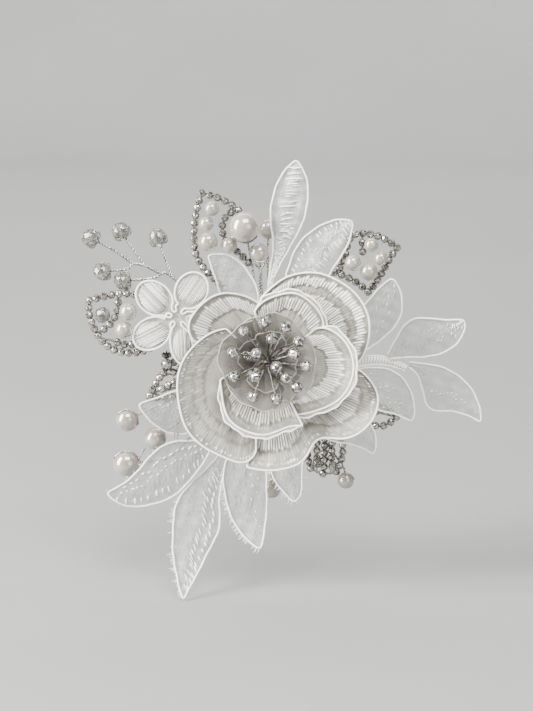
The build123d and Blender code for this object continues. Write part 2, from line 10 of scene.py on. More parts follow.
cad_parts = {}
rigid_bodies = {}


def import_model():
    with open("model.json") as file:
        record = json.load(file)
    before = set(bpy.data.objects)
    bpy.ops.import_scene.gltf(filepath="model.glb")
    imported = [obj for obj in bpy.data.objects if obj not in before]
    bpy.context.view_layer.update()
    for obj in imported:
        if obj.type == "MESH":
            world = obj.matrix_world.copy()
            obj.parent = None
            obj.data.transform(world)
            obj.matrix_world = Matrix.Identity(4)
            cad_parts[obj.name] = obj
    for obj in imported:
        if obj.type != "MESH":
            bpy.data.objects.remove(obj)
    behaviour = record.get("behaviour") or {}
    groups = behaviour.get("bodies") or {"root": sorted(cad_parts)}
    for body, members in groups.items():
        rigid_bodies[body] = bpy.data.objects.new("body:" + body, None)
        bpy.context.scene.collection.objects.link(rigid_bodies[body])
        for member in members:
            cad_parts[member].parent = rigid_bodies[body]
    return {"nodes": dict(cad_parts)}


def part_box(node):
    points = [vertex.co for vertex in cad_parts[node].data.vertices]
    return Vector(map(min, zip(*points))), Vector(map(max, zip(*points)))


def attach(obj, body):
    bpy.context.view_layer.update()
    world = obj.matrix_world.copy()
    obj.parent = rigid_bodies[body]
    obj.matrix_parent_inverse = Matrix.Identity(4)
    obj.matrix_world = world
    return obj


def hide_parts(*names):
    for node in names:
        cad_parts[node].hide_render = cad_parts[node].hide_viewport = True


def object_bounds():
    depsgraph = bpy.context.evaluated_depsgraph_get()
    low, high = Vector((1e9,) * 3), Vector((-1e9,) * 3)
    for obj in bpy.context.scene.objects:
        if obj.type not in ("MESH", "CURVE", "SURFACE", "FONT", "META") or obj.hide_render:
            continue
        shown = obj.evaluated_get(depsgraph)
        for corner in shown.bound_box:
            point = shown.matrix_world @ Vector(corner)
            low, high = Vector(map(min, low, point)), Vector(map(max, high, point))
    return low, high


# Flower hair clip: the lace, pearls, stones, wires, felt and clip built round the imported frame.
# Lengths are metres; MM turns millimetres into them. The flower faces -Y, +Z is up.

for leftover in list(bpy.data.objects):
    bpy.data.objects.remove(leftover, do_unlink=True)
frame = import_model()
NODES = frame["nodes"]
cad_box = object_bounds()
MM = 0.001
draw = random.Random(11)
dice = np.random.default_rng(11)
VIEWER = np.array((0.0, -1.0, 0.0))
TILT = math.radians(9.0)
ROSE_AXIS = np.array((0.0, -math.cos(TILT), math.sin(TILT)))
ROSE_UP = np.array((0.0, math.sin(TILT), math.cos(TILT)))
ROSE_ORIGIN = np.array((-2.0, -9.0, 3.5)) * MM


# ---- materials ----------------------------------------------------------------------------
THREADS = 1900  # scale of the organza's woven threads
FIBRE_RELIEF = 0.00003  # height in metres of the fibres on thread and cloth


def srgb(red, green, blue):
    """An sRGB colour of 0..255 as linear RGBA."""
    out = []
    for value in (red, green, blue):
        value /= 255
        out.append(value / 12.92 if value <= 0.04045 else ((value + 0.055) / 1.055) ** 2.4)
    return (*out, 1.0)


class Shade:
    """A node material round one Principled shader, with short calls for its nodes."""

    def __init__(self, name, **sockets):
        self.material = bpy.data.materials.new(name)
        self.material.use_nodes = True
        self.tree = self.material.node_tree
        self.shader = self.tree.nodes["Principled BSDF"]
        for socket, value in sockets.items():
            self.shader.inputs[socket.replace("_", " ")].default_value = value
        self.place = self.tree.nodes.new("ShaderNodeTexCoord").outputs["Object"]

    def node(self, kind, **settings):
        made = self.tree.nodes.new(kind)
        for key, value in settings.items():
            setattr(made, key, value)
        return made

    def link(self, start, end):
        self.tree.links.new(start, end)

    def noise(self, scale, detail=4.0, roughness=0.55):
        made = self.node("ShaderNodeTexNoise")
        made.inputs["Scale"].default_value = scale
        made.inputs["Detail"].default_value = detail
        made.inputs["Roughness"].default_value = roughness
        self.link(self.place, made.inputs["Vector"])
        return made.outputs["Fac"]

    def wave(self, direction):
        made = self.node("ShaderNodeTexWave", bands_direction=direction)
        made.inputs["Scale"].default_value = THREADS
        made.inputs["Distortion"].default_value = 0.6
        self.link(self.place, made.inputs["Vector"])
        return made.outputs["Fac"]

    def weave(self):
        """A woven grid of fine threads."""
        return self.math("MAXIMUM", self.wave("X"), self.wave("Z"))

    def attribute(self, name):
        return self.node("ShaderNodeAttribute", attribute_name=name).outputs["Fac"]

    def math(self, operation, first, second):
        made = self.node("ShaderNodeMath", operation=operation)
        for i, value in enumerate((first, second)):
            if isinstance(value, (int, float)):
                made.inputs[i].default_value = value
            else:
                self.link(value, made.inputs[i])
        return made.outputs[0]

    def ramp(self, source, *stops):
        made = self.node("ShaderNodeValToRGB")
        elements = made.color_ramp.elements
        while len(elements) < len(stops):
            elements.new(0.5)
        for element, (at, colour) in zip(elements, stops):
            element.position = at
            element.color = colour if isinstance(colour, tuple) else (colour, colour, colour, 1)
        self.link(source, made.inputs["Fac"])
        return made.outputs["Color"]

    def into(self, source, socket):
        self.link(source, self.shader.inputs[socket])

    def mottle(self, socket, scale, low, high, detail=4.0):
        """Drives a socket unevenly between two values."""
        self.into(self.ramp(self.noise(scale, detail), (0.3, low), (0.7, high)), socket)

    def bump(self, source, height, strength=1.0):
        made = self.node("ShaderNodeBump")
        made.inputs["Distance"].default_value = height
        made.inputs["Strength"].default_value = strength
        self.link(source, made.inputs["Height"])
        self.link(made.outputs["Normal"], self.shader.inputs["Normal"])
        return self.material


def cord_material(name, dark, light):
    s = Shade(name, Roughness=0.4, Sheen_Weight=0.35, Sheen_Roughness=0.4)
    s.mottle("Base Color", 900, dark, light)
    return s.bump(s.noise(5200, 3, 0.6), FIBRE_RELIEF, 0.7)


def stitch_material():
    s = Shade("satin_stitch_painted_glint", Specular_IOR_Level=0.7, Sheen_Weight=0.25, Sheen_Roughness=0.35)
    # The thread value is each stitch's painted glint: grey where a thread catches little light, near white
    # where it shines.
    stops = (0.0, srgb(128, 125, 118)), (0.5, srgb(206, 204, 198)), (0.9, srgb(255, 255, 253))
    s.into(s.ramp(s.attribute("thread"), *stops), "Base Color")
    s.mottle("Roughness", 1500, 0.2, 0.38)
    return s.bump(s.noise(4200, 3, 0.6), FIBRE_RELIEF, 0.6)


def satin_material():
    s = Shade("petal_satin_painted_light", Specular_IOR_Level=0.65, Sheen_Weight=0.2, Sheen_Roughness=0.35)
    # The thread value paints light: highlight on the satin's ridge crests and bands, shade in the valleys
    # between ridges; the noise adds random tone.
    tone_with_painted_light = s.math("ADD", s.attribute("thread"), s.math("MULTIPLY", s.noise(420, 5), 0.3))
    dark = (0.1, srgb(96, 92, 84)), (0.3, srgb(130, 126, 117))
    light = (0.6, srgb(184, 180, 171)), (1.0, srgb(250, 248, 243))
    s.into(s.ramp(tone_with_painted_light, *dark, *light), "Base Color")
    s.into(s.ramp(s.attribute("thread"), (0.0, 0.5), (1.0, 0.22)), "Roughness")
    return s.bump(s.noise(3600, 4, 0.6), FIBRE_RELIEF, 0.6)


def organza_material(name, low, high, light, dark):
    """Sheer cloth: a fine woven grid whose threads cover more than its gaps do."""
    s = Shade(name, Roughness=0.42, Sheen_Weight=0.3, Sheen_Roughness=0.4, Specular_IOR_Level=0.5)
    weave = s.weave()
    cloud = s.noise(420, 6, 0.65)
    filled = s.math("MULTIPLY", s.attribute("thread"), 0.5)
    stops = (0.3, dark), (0.7, light), (1.0, srgb(240, 240, 236))
    s.into(s.ramp(s.math("ADD", cloud, filled), *stops), "Base Color")
    threads = s.math("ADD", s.math("MULTIPLY", weave, 0.35), s.math("MULTIPLY", cloud, 0.65))
    cover = s.math("ADD", threads, filled)
    s.into(s.ramp(cover, (0.25, low), (0.8, high), (1.0, min(1.0, high + 0.2))), "Alpha")
    return s.bump(weave, FIBRE_RELIEF, 0.5)


def cup_material():
    """Layered grey organza of the rose's bowl, more opaque towards its foot, with painted shade that darkens
    it there.
    """
    s = Shade("cup_organza_painted_shade", Roughness=0.4, Sheen_Weight=0.3, Sheen_Roughness=0.4)
    uneven = s.math("MULTIPLY", s.math("SUBTRACT", s.noise(330, 5), 0.5), 0.35)
    # Painted shade: the colour darkens with depth towards the bowl's foot.
    depth = s.math("ADD", s.attribute("thread"), uneven)
    dark = (0.0, srgb(40, 38, 33)), (0.35, srgb(68, 65, 58))
    light = (0.7, srgb(100, 97, 89)), (1.0, srgb(138, 134, 125))
    s.into(s.ramp(depth, *dark, *light), "Base Color")
    s.into(s.ramp(depth, (0.1, 0.97), (1.0, 0.62)), "Alpha")
    weave = s.weave()
    return s.bump(weave, FIBRE_RELIEF, 0.5)


def pearl_material():
    s = Shade(
        "pearl_lustre",
        Roughness=0.2,
        Specular_IOR_Level=0.8,
        Coat_Weight=1.0,
        Coat_Roughness=0.04,
        Coat_IOR=2.0,
        Sheen_Weight=0.15,
        Subsurface_Weight=0.12,
        Subsurface_Scale=0.001,
    )
    s.mottle("Base Color", 170, srgb(126, 120, 106), srgb(154, 148, 134))
    return s.bump(s.noise(1500, 3), 0.00002, 0.35)


def stone_material(name, top):
    """Foiled cut glass: each facet has a random painted brightness, a painted glint for the light the cuts
    behind it send.
    """
    s = Shade(name, Metallic=0.82, Coat_Weight=0.8, Coat_Roughness=0.02)
    dark = (0.0, srgb(58, 56, 52)), (0.35, srgb(122, 119, 114))
    light = (0.7, srgb(*(0.8 * c for c in top))), (1.0, srgb(*top))
    s.into(s.ramp(s.attribute("facet_glint"), *dark, *light), "Base Color")
    s.mottle("Roughness", 1200, 0.04, 0.12)
    return s.material


def crystal_material():
    s = Shade("clear_crystal", Transmission_Weight=0.9, IOR=1.56, Coat_Weight=0.5, Coat_Roughness=0.02)
    # Each facet's colour is a painted glint, set by its random brightness.
    stops = (0.0, srgb(118, 113, 104)), (1.0, srgb(222, 219, 212))
    s.into(s.ramp(s.attribute("facet_glint"), *stops), "Base Color")
    s.mottle("Roughness", 700, 0.01, 0.06)
    return s.material


def metal_material(name, dark, light, low, high, scale):
    s = Shade(name, Metallic=1.0)
    s.mottle("Base Color", scale, dark, light, 6)
    s.mottle("Roughness", scale * 2.2, low, high)
    return s.bump(s.noise(scale * 3), 0.004 / scale, 0.4)


def black_material():
    s = Shade("black_glass", Coat_Weight=1.0, Coat_Roughness=0.03)
    s.mottle("Base Color", 500, srgb(16, 16, 17), srgb(34, 34, 36))
    s.mottle("Roughness", 900, 0.06, 0.16)
    return s.material


def felt_material():
    s = Shade("wool_felt", Roughness=0.92, Sheen_Weight=0.5, Sheen_Roughness=0.6, Specular_IOR_Level=0.2)
    fibre = s.noise(900, 8, 0.7)
    s.into(s.ramp(fibre, (0.25, srgb(205, 202, 195)), (0.75, srgb(240, 238, 232))), "Base Color")
    return s.bump(s.math("ADD", fibre, s.noise(3000, 4, 0.7)), 0.00018, 0.9)


def floor_material():
    s = Shade("pale_floor", Roughness=0.6, Specular_IOR_Level=0.25)
    s.mottle("Base Color", 3, srgb(136, 137, 135), srgb(143, 144, 142), 5)
    return s.bump(s.noise(60, 5), 0.0004, 0.3)


CORD = cord_material("cord_thread", srgb(238, 237, 232), srgb(255, 255, 253))
# The bowl's cords are painted darker than the others: painted shade of the deep bowl.
FINE_CORD_SHADED = cord_material("fine_cord_painted_shade", srgb(132, 128, 120), srgb(166, 162, 154))
STITCH = stitch_material()
SATIN = satin_material()
ORGANZA = organza_material("sheer_organza", 0.28, 0.70, srgb(178, 180, 177), srgb(138, 140, 136))
NET = organza_material("lace_net", 0.6, 0.98, srgb(176, 172, 163), srgb(132, 128, 119))
CUP_ORGANZA = cup_material()
PEARL = pearl_material()
STONE = stone_material("cut_stone", (255, 255, 255))
CHAIN_STONE = stone_material("chain_stone", (214, 210, 202))
CRYSTAL = crystal_material()
CHAIN = metal_material("claw_chain_silver", srgb(96, 92, 84), srgb(178, 174, 166), 0.22, 0.42, 700)
WIRE = metal_material("silver_wire", srgb(120, 118, 112), srgb(200, 198, 193), 0.18, 0.34, 900)
NICKEL = metal_material("brushed_nickel", srgb(150, 148, 142), srgb(196, 194, 188), 0.16, 0.3, 900)
BLACK = black_material()
FELT = felt_material()


# ---- mesh helpers -------------------------------------------------------------------------
CORD_STEP = 0.16 * MM  # distance between the points of a sewn cord


def unit(vectors):
    vectors = np.asarray(vectors, float)
    return vectors / np.maximum(np.linalg.norm(vectors, axis=-1, keepdims=True), 1e-12)


def smoothstep(values):
    values = np.clip(values, 0, 1)
    return values * values * (3 - 2 * values)


class Soup:
    """Vertices, faces and one value per vertex, gathered for a single mesh."""

    def __init__(self):
        self.points, self.faces, self.values, self.count = [], [], [], 0

    def add(self, points, faces, values=None):
        points = np.asarray(points, float).reshape(-1, 3)
        self.points.append(points)
        self.faces.extend(tuple(i + self.count for i in face) for face in faces)
        self.values.append(np.zeros(len(points)) if values is None else np.ravel(values))
        self.count += len(points)

    def build(self, name, material, slot, node=None, body="spray", smooth=True, value="thread"):
        """The gathered mesh as a piece on the body, in place of the CAD node where one is given."""
        mesh = bpy.data.meshes.new(name)
        mesh.from_pydata(np.concatenate(self.points).tolist(), [], self.faces)
        values = np.concatenate(self.values).astype(np.float32)
        mesh.attributes.new(value, "FLOAT", "POINT").data.foreach_set("value", values)
        mesh.polygons.foreach_set("use_smooth", [smooth] * len(mesh.polygons))
        mesh.materials.append(material)
        mesh.update()
        piece = bpy.data.objects.new(name, mesh)
        bpy.context.scene.collection.objects.link(piece)
        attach(piece, body)
        if node:
            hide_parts(node)
        return piece

    def build_facets(self, name, material, slot, node=None):
        return self.build(name, material, slot, node, smooth=False, value="facet_glint")


def full_turn(count):
    """Evenly spaced angles of a ring."""
    return np.linspace(0, 2 * np.pi, count, endpoint=False)


def grid_faces(rows, columns, wrap=False, start=0):
    """Quads of a grid of vertices, row by row; wrap joins the last column to the first."""
    r = np.arange(rows - 1)[:, None]
    c = np.arange(columns if wrap else columns - 1)[None, :]
    d = (c + 1) % columns
    quads = np.stack([r * columns + c, r * columns + d, (r + 1) * columns + d, (r + 1) * columns + c], -1)
    return (quads.reshape(-1, 4) + start).tolist()


def capped_faces(rings, sides):
    """Faces of a closed body of rings of vertices, with a cap on each end."""
    caps = [tuple(range(sides - 1, -1, -1)), tuple((rings - 1) * sides + i for i in range(sides))]
    return grid_faces(rings, sides, wrap=True) + caps


def distances(points):
    """How far along the line each of its points is."""
    return np.concatenate([[0], np.cumsum(np.linalg.norm(np.diff(points, axis=0), axis=1))])


def resample(points, count):
    points = np.asarray(points, float)
    along = distances(points)
    at = np.linspace(0, along[-1], count)
    return np.column_stack([np.interp(at, along, points[:, i]) for i in range(3)])


def run_length(points):
    return float(np.linalg.norm(np.diff(points, axis=0), axis=1).sum())


def softened(points, passes, closed=False):
    """The line with its corners eased, its two ends kept."""
    points = np.array(points, float)
    for _ in range(passes):
        if closed:
            points = (np.roll(points, 1, 0) + 2 * points + np.roll(points, -1, 0)) / 4
        else:
            points[1:-1] = (points[:-2] + 2 * points[1:-1] + points[2:]) / 4
    return points


def spline(points, count):
    """A smooth line through the points, by centripetal Catmull-Rom, evenly sampled."""
    points = np.asarray(points, float)
    ends = np.vstack([2 * points[0] - points[1], points, 2 * points[-1] - points[-2]])
    out = []
    for a, b, c, d in zip(ends, ends[1:], ends[2:], ends[3:]):
        t = np.linspace(0, 1, 24, endpoint=False)[:, None]
        square, cube = 2 * a - 5 * b + 4 * c - d, 3 * b - a - 3 * c + d
        out.append(0.5 * (2 * b + (c - a) * t + square * t**2 + cube * t**3))
    return resample(np.vstack([*out, points[-1:]]), count)


def frames_along(points, closed=False):
    if closed:
        ahead = unit(np.roll(points, -1, 0) - np.roll(points, 1, 0))
    else:
        ahead = unit(np.gradient(points, axis=0))
    side = np.empty_like(points)
    first = np.cross(ahead[0], (0.0, 1.0, 0.0))
    if np.linalg.norm(first) < 0.2:
        first = np.cross(ahead[0], (1.0, 0.0, 0.0))
    side[0] = unit(first)
    for i in range(1, len(points)):
        side[i] = unit(side[i - 1] - ahead[i] * np.dot(side[i - 1], ahead[i]))
    return ahead, side, np.cross(ahead, side)


def add_tube(soup, points, radius, sides=8, closed=False, twist=None, value=0.6):
    """A round tube along the points. twist = (pitch, strands, depth) cuts strand grooves into it."""
    points = np.asarray(points, float)
    _, side, other = frames_along(points, closed)
    angle = full_turn(sides)
    radii = np.broadcast_to(np.asarray(radius, float).reshape(-1, 1), (len(points), sides)).copy()
    if twist:
        pitch, strands, depth = twist
        along = distances(points)
        radii *= 1 + depth * np.cos(strands * (angle[None, :] - 2 * np.pi * along[:, None] / pitch))
    rings = points[:, None] + radii[..., None] * (
        np.cos(angle)[None, :, None] * side[:, None] + np.sin(angle)[None, :, None] * other[:, None]
    )
    count = len(points)
    if closed:
        faces = grid_faces(count, sides, wrap=True)
        last = (count - 1) * sides
        faces += [(last + i, last + (i + 1) % sides, (i + 1) % sides, i) for i in range(sides)]
    else:
        faces = capped_faces(count, sides)
    soup.add(rings, faces, np.full(rings.shape[:2], value))


def sewn_line(points, passes):
    """The line evenly sampled for a sewn cord, with its corners eased."""
    return softened(resample(points, int(run_length(points) / CORD_STEP)), passes)


def add_cord(soup, line, radius, sides=10, pitch=1.1, depth=0.13, value=0.8, closed=False):
    """A two-ply cord along the line; its radius and pitch in mm."""
    add_tube(soup, line, radius * MM, sides, closed, (pitch * MM, 2, depth), value)


def add_strands(soup, points, wire, gap, pitch, strands=2, sides=6, value=0.6):
    """Wires wound round each other along the points; radius, offset and pitch in mm."""
    wire, gap, pitch = wire * MM, gap * MM, pitch * MM
    points = resample(points, max(8, int(run_length(points) / (pitch / 10))))
    _, side, other = frames_along(points)
    along = distances(points)
    for strand in range(strands):
        turn = (2 * np.pi * (along / pitch + strand / strands))[:, None]
        add_tube(soup, points + gap * (np.cos(turn) * side + np.sin(turn) * other), wire, sides, value=value)


def add_threads(soup, lines, normals, radius, values, sides=5):
    """Many short threads at once: lines and normals are (threads, points, 3)."""
    threads, steps, _ = lines.shape
    ahead = unit(np.gradient(lines, axis=1))
    across = unit(np.cross(ahead, normals))
    angle = full_turn(sides)
    taper = np.sin(np.linspace(0.12, np.pi - 0.12, steps)) ** 0.4
    radii = np.broadcast_to(np.asarray(radius, float).reshape(-1, 1), (threads, steps)) * taper
    ring_way = np.cos(angle)[:, None] * normals[:, :, None] + np.sin(angle)[:, None] * across[:, :, None]
    rings = lines[:, :, None] + radii[..., None, None] * ring_way
    base = capped_faces(steps, sides)
    for ring, value in zip(rings, np.broadcast_to(values, (threads,))):
        soup.add(ring, base, np.full(steps * sides, value))


def add_slab(soup, front, back, tone_with_painted_light):
    """Two grids a little apart, joined all round."""
    rows, columns = front.shape[:2]
    size = rows * columns
    faces = grid_faces(rows, columns)
    faces += [[i + size for i in face[::-1]] for face in faces]
    border = list(range(columns)) + [i * columns + columns - 1 for i in range(1, rows)]
    border += [(rows - 1) * columns + j for j in range(columns - 2, -1, -1)]
    border += [i * columns for i in range(rows - 2, 0, -1)]
    faces += [(b, a, a + size, b + size) for a, b in zip(border, border[1:] + border[:1])]
    soup.add(np.array([front, back]), faces, np.array([tone_with_painted_light, tone_with_painted_light]))


# ---- reading the frame --------------------------------------------------------------------
def welded(mesh):
    """The mesh's distinct places, and which of them each vertex stands at."""
    seen, index, places = {}, [], []
    for vertex in mesh.vertices:
        key = tuple(round(c * 1e6) for c in vertex.co)
        if key not in seen:
            seen[key] = len(places)
            places.append(np.array(vertex.co))
        index.append(seen[key])
    return np.array(places), index


class Front:
    """The viewer's side of a flat or curved CAD sheet: its surface and its outline."""

    def __init__(self, node, axis):
        mesh = NODES[node].data
        mesh.calc_loop_triangles()
        self.axis = axis
        places, index = welded(mesh)
        faces = []
        for triangle in mesh.loop_triangles:
            if np.dot(triangle.normal, axis) > 0.3:
                corners = tuple(index[i] for i in triangle.vertices)
                if len(set(corners)) == 3:
                    faces.append(corners)
        self.tree = BVHTree.FromPolygons([tuple(p) for p in places], faces)
        directed = {(a, b) for f in faces for a, b in zip(f, f[1:] + f[:1])}
        follow = {a: b for a, b in directed if (b, a) not in directed}
        loops = []
        while follow:
            start = next(iter(follow))
            loop = [start]
            step = follow.pop(start)
            while step != start and step in follow:
                loop.append(step)
                step = follow.pop(step)
            loops.append(places[loop])
        self.outline = max(loops, key=run_length)

    def onto(self, points):
        """Points dropped along the axis onto the surface."""
        flat = np.asarray(points, float).reshape(-1, 3)
        out = np.empty_like(flat)
        down = Vector(-self.axis)
        for i, point in enumerate(flat):
            hit = self.tree.ray_cast(Vector(point + self.axis * 0.03), down)[0]
            if hit is None:
                hit = self.tree.find_nearest(Vector(point))[0]
            out[i] = hit
        return out.reshape(np.shape(points))

    def corners(self, count):
        """Indices of the sharpest turns of the outline."""
        line = self.outline
        before = unit(line - np.roll(line, 1, 0))
        after = unit(np.roll(line, -1, 0) - line)
        turn = np.arccos(np.clip((before * after).sum(1), -1, 1))
        found = []
        for i in np.argsort(-turn):
            if all(np.linalg.norm(line[i] - line[j]) > 0.6 * MM for j in found):
                found.append(int(i))
            if len(found) == count:
                break
        return sorted(found)

    def between(self, start, end):
        """The outline from one of its vertices on to another."""
        size = len(self.outline)
        stop = end if end > start else end + size
        return self.outline[[i % size for i in range(start, stop + 1)]]


def grid_normals(grid, axis):
    """Normals of a grid of points, turned to the viewer's side."""
    along = np.gradient(grid, axis=0)
    across = np.gradient(grid, axis=1)
    normals = unit(np.cross(along, across))
    flip = np.sign((normals * axis).sum(-1, keepdims=True))
    flip[flip == 0] = 1
    return normals * flip


class Patch:
    """A grid on a leaf or petal, read at any (u, v) from 0 to 1 with a lift off its surface."""

    def __init__(self, grid, axis):
        self.grid = grid
        self.normals = grid_normals(grid, axis)
        self.rows, self.columns = grid.shape[:2]

    def read(self, values, u, v):
        u = np.clip(np.asarray(u, float), 0, 1) * (self.columns - 1)
        v = np.clip(np.asarray(v, float), 0, 1) * (self.rows - 1)
        i, j = np.minimum(v.astype(int), self.rows - 2), np.minimum(u.astype(int), self.columns - 2)
        a, b = (v - i)[..., None], (u - j)[..., None]
        low = values[i, j] * (1 - b) + values[i, j + 1] * b
        high = values[i + 1, j] * (1 - b) + values[i + 1, j + 1] * b
        return low * (1 - a) + high * a

    def at(self, u, v, lift=0.0):
        normals = unit(self.read(self.normals, u, v))
        return self.read(self.grid, u, v) + normals * np.asarray(lift)[..., None], normals

    def width(self, v):
        """The patch's width at each v."""
        wide = np.linalg.norm(self.grid[:, -1] - self.grid[:, 0], axis=-1)
        return np.interp(v, np.linspace(0, 1, self.rows), wide)

    def halves(self):
        """Cross products for both triangles of each cell of the grid."""
        g = self.grid
        one = np.cross(g[1:, :-1] - g[:-1, :-1], g[:-1, 1:] - g[:-1, :-1])
        two = np.cross(g[:-1, 1:] - g[1:, 1:], g[1:, :-1] - g[1:, 1:])
        return one, two

    def area(self):
        return float(sum(np.linalg.norm(half, axis=-1) for half in self.halves()).sum() / 2)

    def shadow(self, direction):
        """The area that the patch covers as seen along a direction."""
        return float(sum(np.abs(half @ direction) for half in self.halves()).sum() / 2)

    def flat_size(self):
        """Width and length of the cut cloth, from the patch laid flat on its own plane."""
        points = self.grid.reshape(-1, 3)
        centred = points - points.mean(0)
        _, _, directions = np.linalg.svd(centred[:: max(1, len(centred) // 400)], full_matrices=False)
        spread = centred @ directions.T
        bend = math.sqrt(max(1.0, self.area() / self.shadow(directions[2])))
        size = (spread.max(0) - spread.min(0)) * bend
        return size[1], size[0]


def wobble(points, normals, amount, scale, seed):
    """Slow uneven waves in a cloth grid, along its normals."""
    x, _, z = (points.reshape(-1, 3) * scale).T
    shift = np.sin(x * 1.7 + z * 1.1 + seed) * np.cos(z * 1.9 - x * 0.7 + 2 * seed)
    return points + normals * (amount * shift).reshape(points.shape[:2])[..., None]


LEAST_SIDE = 0.0101  # the shortest side in metres given to a sheet's worked-out size


def declare(patch):
    """Works out the patch's flat width, length and area as a cut sheet of cloth."""
    width, length = (max(LEAST_SIDE, side) for side in patch.flat_size())
    area = min(patch.area(), 0.999 * width * length)


# ---- lace leaves --------------------------------------------------------------------------
# Each leaf's rows of satin bars, then its cord radius in mm, how filled its middle is, and its lash hairs
# on the first and second edge. A row is: bars, u and its spread, v from and to, length in mm, angle from
# crosswise and its spread in degrees, radius in mm, brightness as painted glint. u runs across the leaf
# (from its right when the tip points up), v to the tip.
LEAVES = {
    "top": (
        [
            (13, 0.5, 0.03, 0.5, 0.93, 4.6, -7, 5, 0.22, 1.0),
            (15, 0.5, 0.14, 0.5, 0.93, 2.4, -7, 12, 0.15, 0.9),
            (80, 0.5, 0.26, 0.1, 0.56, 1.4, -4, 40, 0.16, 1.0),
            (20, 0.5, 0.03, 0.12, 0.5, 3.2, -5, 9, 0.1, 0.6),
        ],
        0.24, 0.45, 0, 0,
    ),
    "top_right": (
        [
            (17, 0.8, 0.03, 0.2, 0.95, 1.6, 10, 9, 0.24, 1.0),
            (20, 0.28, 0.04, 0.16, 0.93, 2.6, 12, 7, 0.18, 0.9),
            (38, 0.52, 0.16, 0.1, 0.85, 1.1, 20, 40, 0.14, 0.8),
        ],
        0.24, 0.5, 0, 0,
    ),
    "upper_left": ([(34, 0.5, 0.3, 0.1, 0.9, 1.6, 45, 16, 0.08, 0.35)], 0.23, 0.25, 0, 0),
    "right_upper": (
        [
            (30, 0.5, 0.28, 0.12, 0.86, 2.2, 78, 9, 0.1, 0.6),
            (8, 0.5, 0.22, 0.25, 0.9, 1.1, 75, 12, 0.15, 1.0),
        ],
        0.23, 0.2, 0, 0,
    ),
    "right": (
        [
            (15, 0.45, 0.3, 0.74, 0.96, 1.2, 55, 22, 0.15, 1.0),
            (7, 0.5, 0.2, 0.55, 0.66, 0.8, 60, 20, 0.12, 0.9),
            (20, 0.5, 0.28, 0.1, 0.6, 2.2, 30, 12, 0.07, 0.3),
        ],
        0.24, 0.1, 0, 0,
    ),
    "right_long": (
        [
            (9, 0.5, 0.22, 0.38, 0.72, 0.8, 20, 40, 0.15, 1.0),
            (16, 0.5, 0.3, 0.1, 0.9, 2.0, 60, 20, 0.06, 0.3),
        ],
        0.22, 0.05, 0, 0,
    ),
    "right_small": (
        [
            (13, 0.5, 0.3, 0.2, 0.75, 1.0, 40, 40, 0.15, 1.0),
            (16, 0.5, 0.3, 0.1, 0.9, 1.8, 60, 20, 0.07, 0.35),
        ],
        0.23, 0.1, 0, 0,
    ),
    "bottom_right": ([(22, 0.5, 0.3, 0.1, 0.9, 1.4, 50, 25, 0.08, 0.4)], 0.23, 0.15, 0, 0),
    "bottom_small": ([(20, 0.5, 0.3, 0.1, 0.85, 2.0, 84, 8, 0.07, 0.4)], 0.23, 0.15, 44, 10),
    "bottom": (
        [
            (44, 0.5, 0.34, 0.08, 0.9, 1.7, 70, 18, 0.08, 0.45),
            (10, 0.68, 0.14, 0.35, 0.8, 0.9, 60, 30, 0.14, 1.0),
        ],
        0.24, 0.15, 80, 0,
    ),
    "bottom_left": (
        [
            (18, 0.83, 0.03, 0.3, 0.92, 2.0, 62, 8, 0.24, 1.0),
            (24, 0.62, 0.06, 0.24, 0.92, 2.6, 54, 8, 0.19, 0.85),
            (22, 0.34, 0.14, 0.15, 0.85, 1.7, 60, 14, 0.08, 0.35),
        ],
        0.25, 0.15, 48, 0,
    ),
    "lower_left": (
        [
            (16, 0.81, 0.03, 0.12, 0.9, 2.0, 6, 9, 0.24, 1.0),
            (14, 0.22, 0.04, 0.2, 0.85, 1.3, 72, 12, 0.22, 1.0),
            (18, 0.42, 0.04, 0.18, 0.88, 0.9, 60, 25, 0.19, 1.0),
            (26, 0.6, 0.06, 0.1, 0.9, 2.2, 14, 9, 0.08, 0.4),
        ],
        0.25, 0.15, 10, 0,
    ),
    "left_small": (
        [
            (12, 0.3, 0.1, 0.1, 0.7, 0.8, 40, 30, 0.14, 1.0),
            (44, 0.55, 0.28, 0.06, 0.85, 1.1, 30, 50, 0.09, 0.45),
        ],
        0.24, 0.2, 0, 0,
    ),
}


def ruled(one, two, rows, across):
    """Rows of points that run straight over from one line to the other."""
    return resample(one, rows)[:, None] * (1 - across) + resample(two, rows)[:, None] * across


def add_bars(soup, patch, rows_of_bars):
    """Short raised stitches on a patch, row by row."""
    for count, u, wide, first, last, length, angle, spread, radius, painted_brightness in rows_of_bars:
        at_u = u + dice.uniform(-wide, wide, count)
        at_v = np.linspace(first, last, count) + dice.uniform(-0.3, 0.3, count) * (last - first) / count
        here, normals = patch.at(at_u, at_v, np.full(count, 0.06 * MM))
        sideways = unit(patch.at(at_u + 0.04, at_v)[0] - patch.at(at_u - 0.04, at_v)[0])
        upward = unit(np.cross(normals, sideways))
        upward *= np.sign(((patch.at(at_u, at_v + 0.03)[0] - here) * upward).sum(-1, keepdims=True))
        turn = np.radians(angle + dice.uniform(-spread, spread, count))[:, None]
        room = patch.width(at_v)[:, None] * (1 - np.abs(2 * at_u - 1))[:, None] + 0.5 * MM
        wanted = length * MM * dice.uniform(0.6, 1.1, (count, 1))
        long = np.minimum(wanted, room / np.maximum(np.cos(turn), 0.3))
        along = (np.cos(turn) * sideways + np.sin(turn) * upward) * long
        t = np.linspace(-0.5, 0.5, 6)[None, :, None]
        lines = here[:, None] + along[:, None] * t + normals[:, None] * (1 - 4 * t**2) * 0.1 * MM
        facing = np.repeat(normals[:, None], 6, axis=1)
        thick = radius * MM * dice.uniform(0.75, 1.15, count)
        # Each bar's brightness is a painted glint.
        add_threads(soup, lines, facing, thick, painted_brightness * dice.uniform(0.7, 1.0, count))


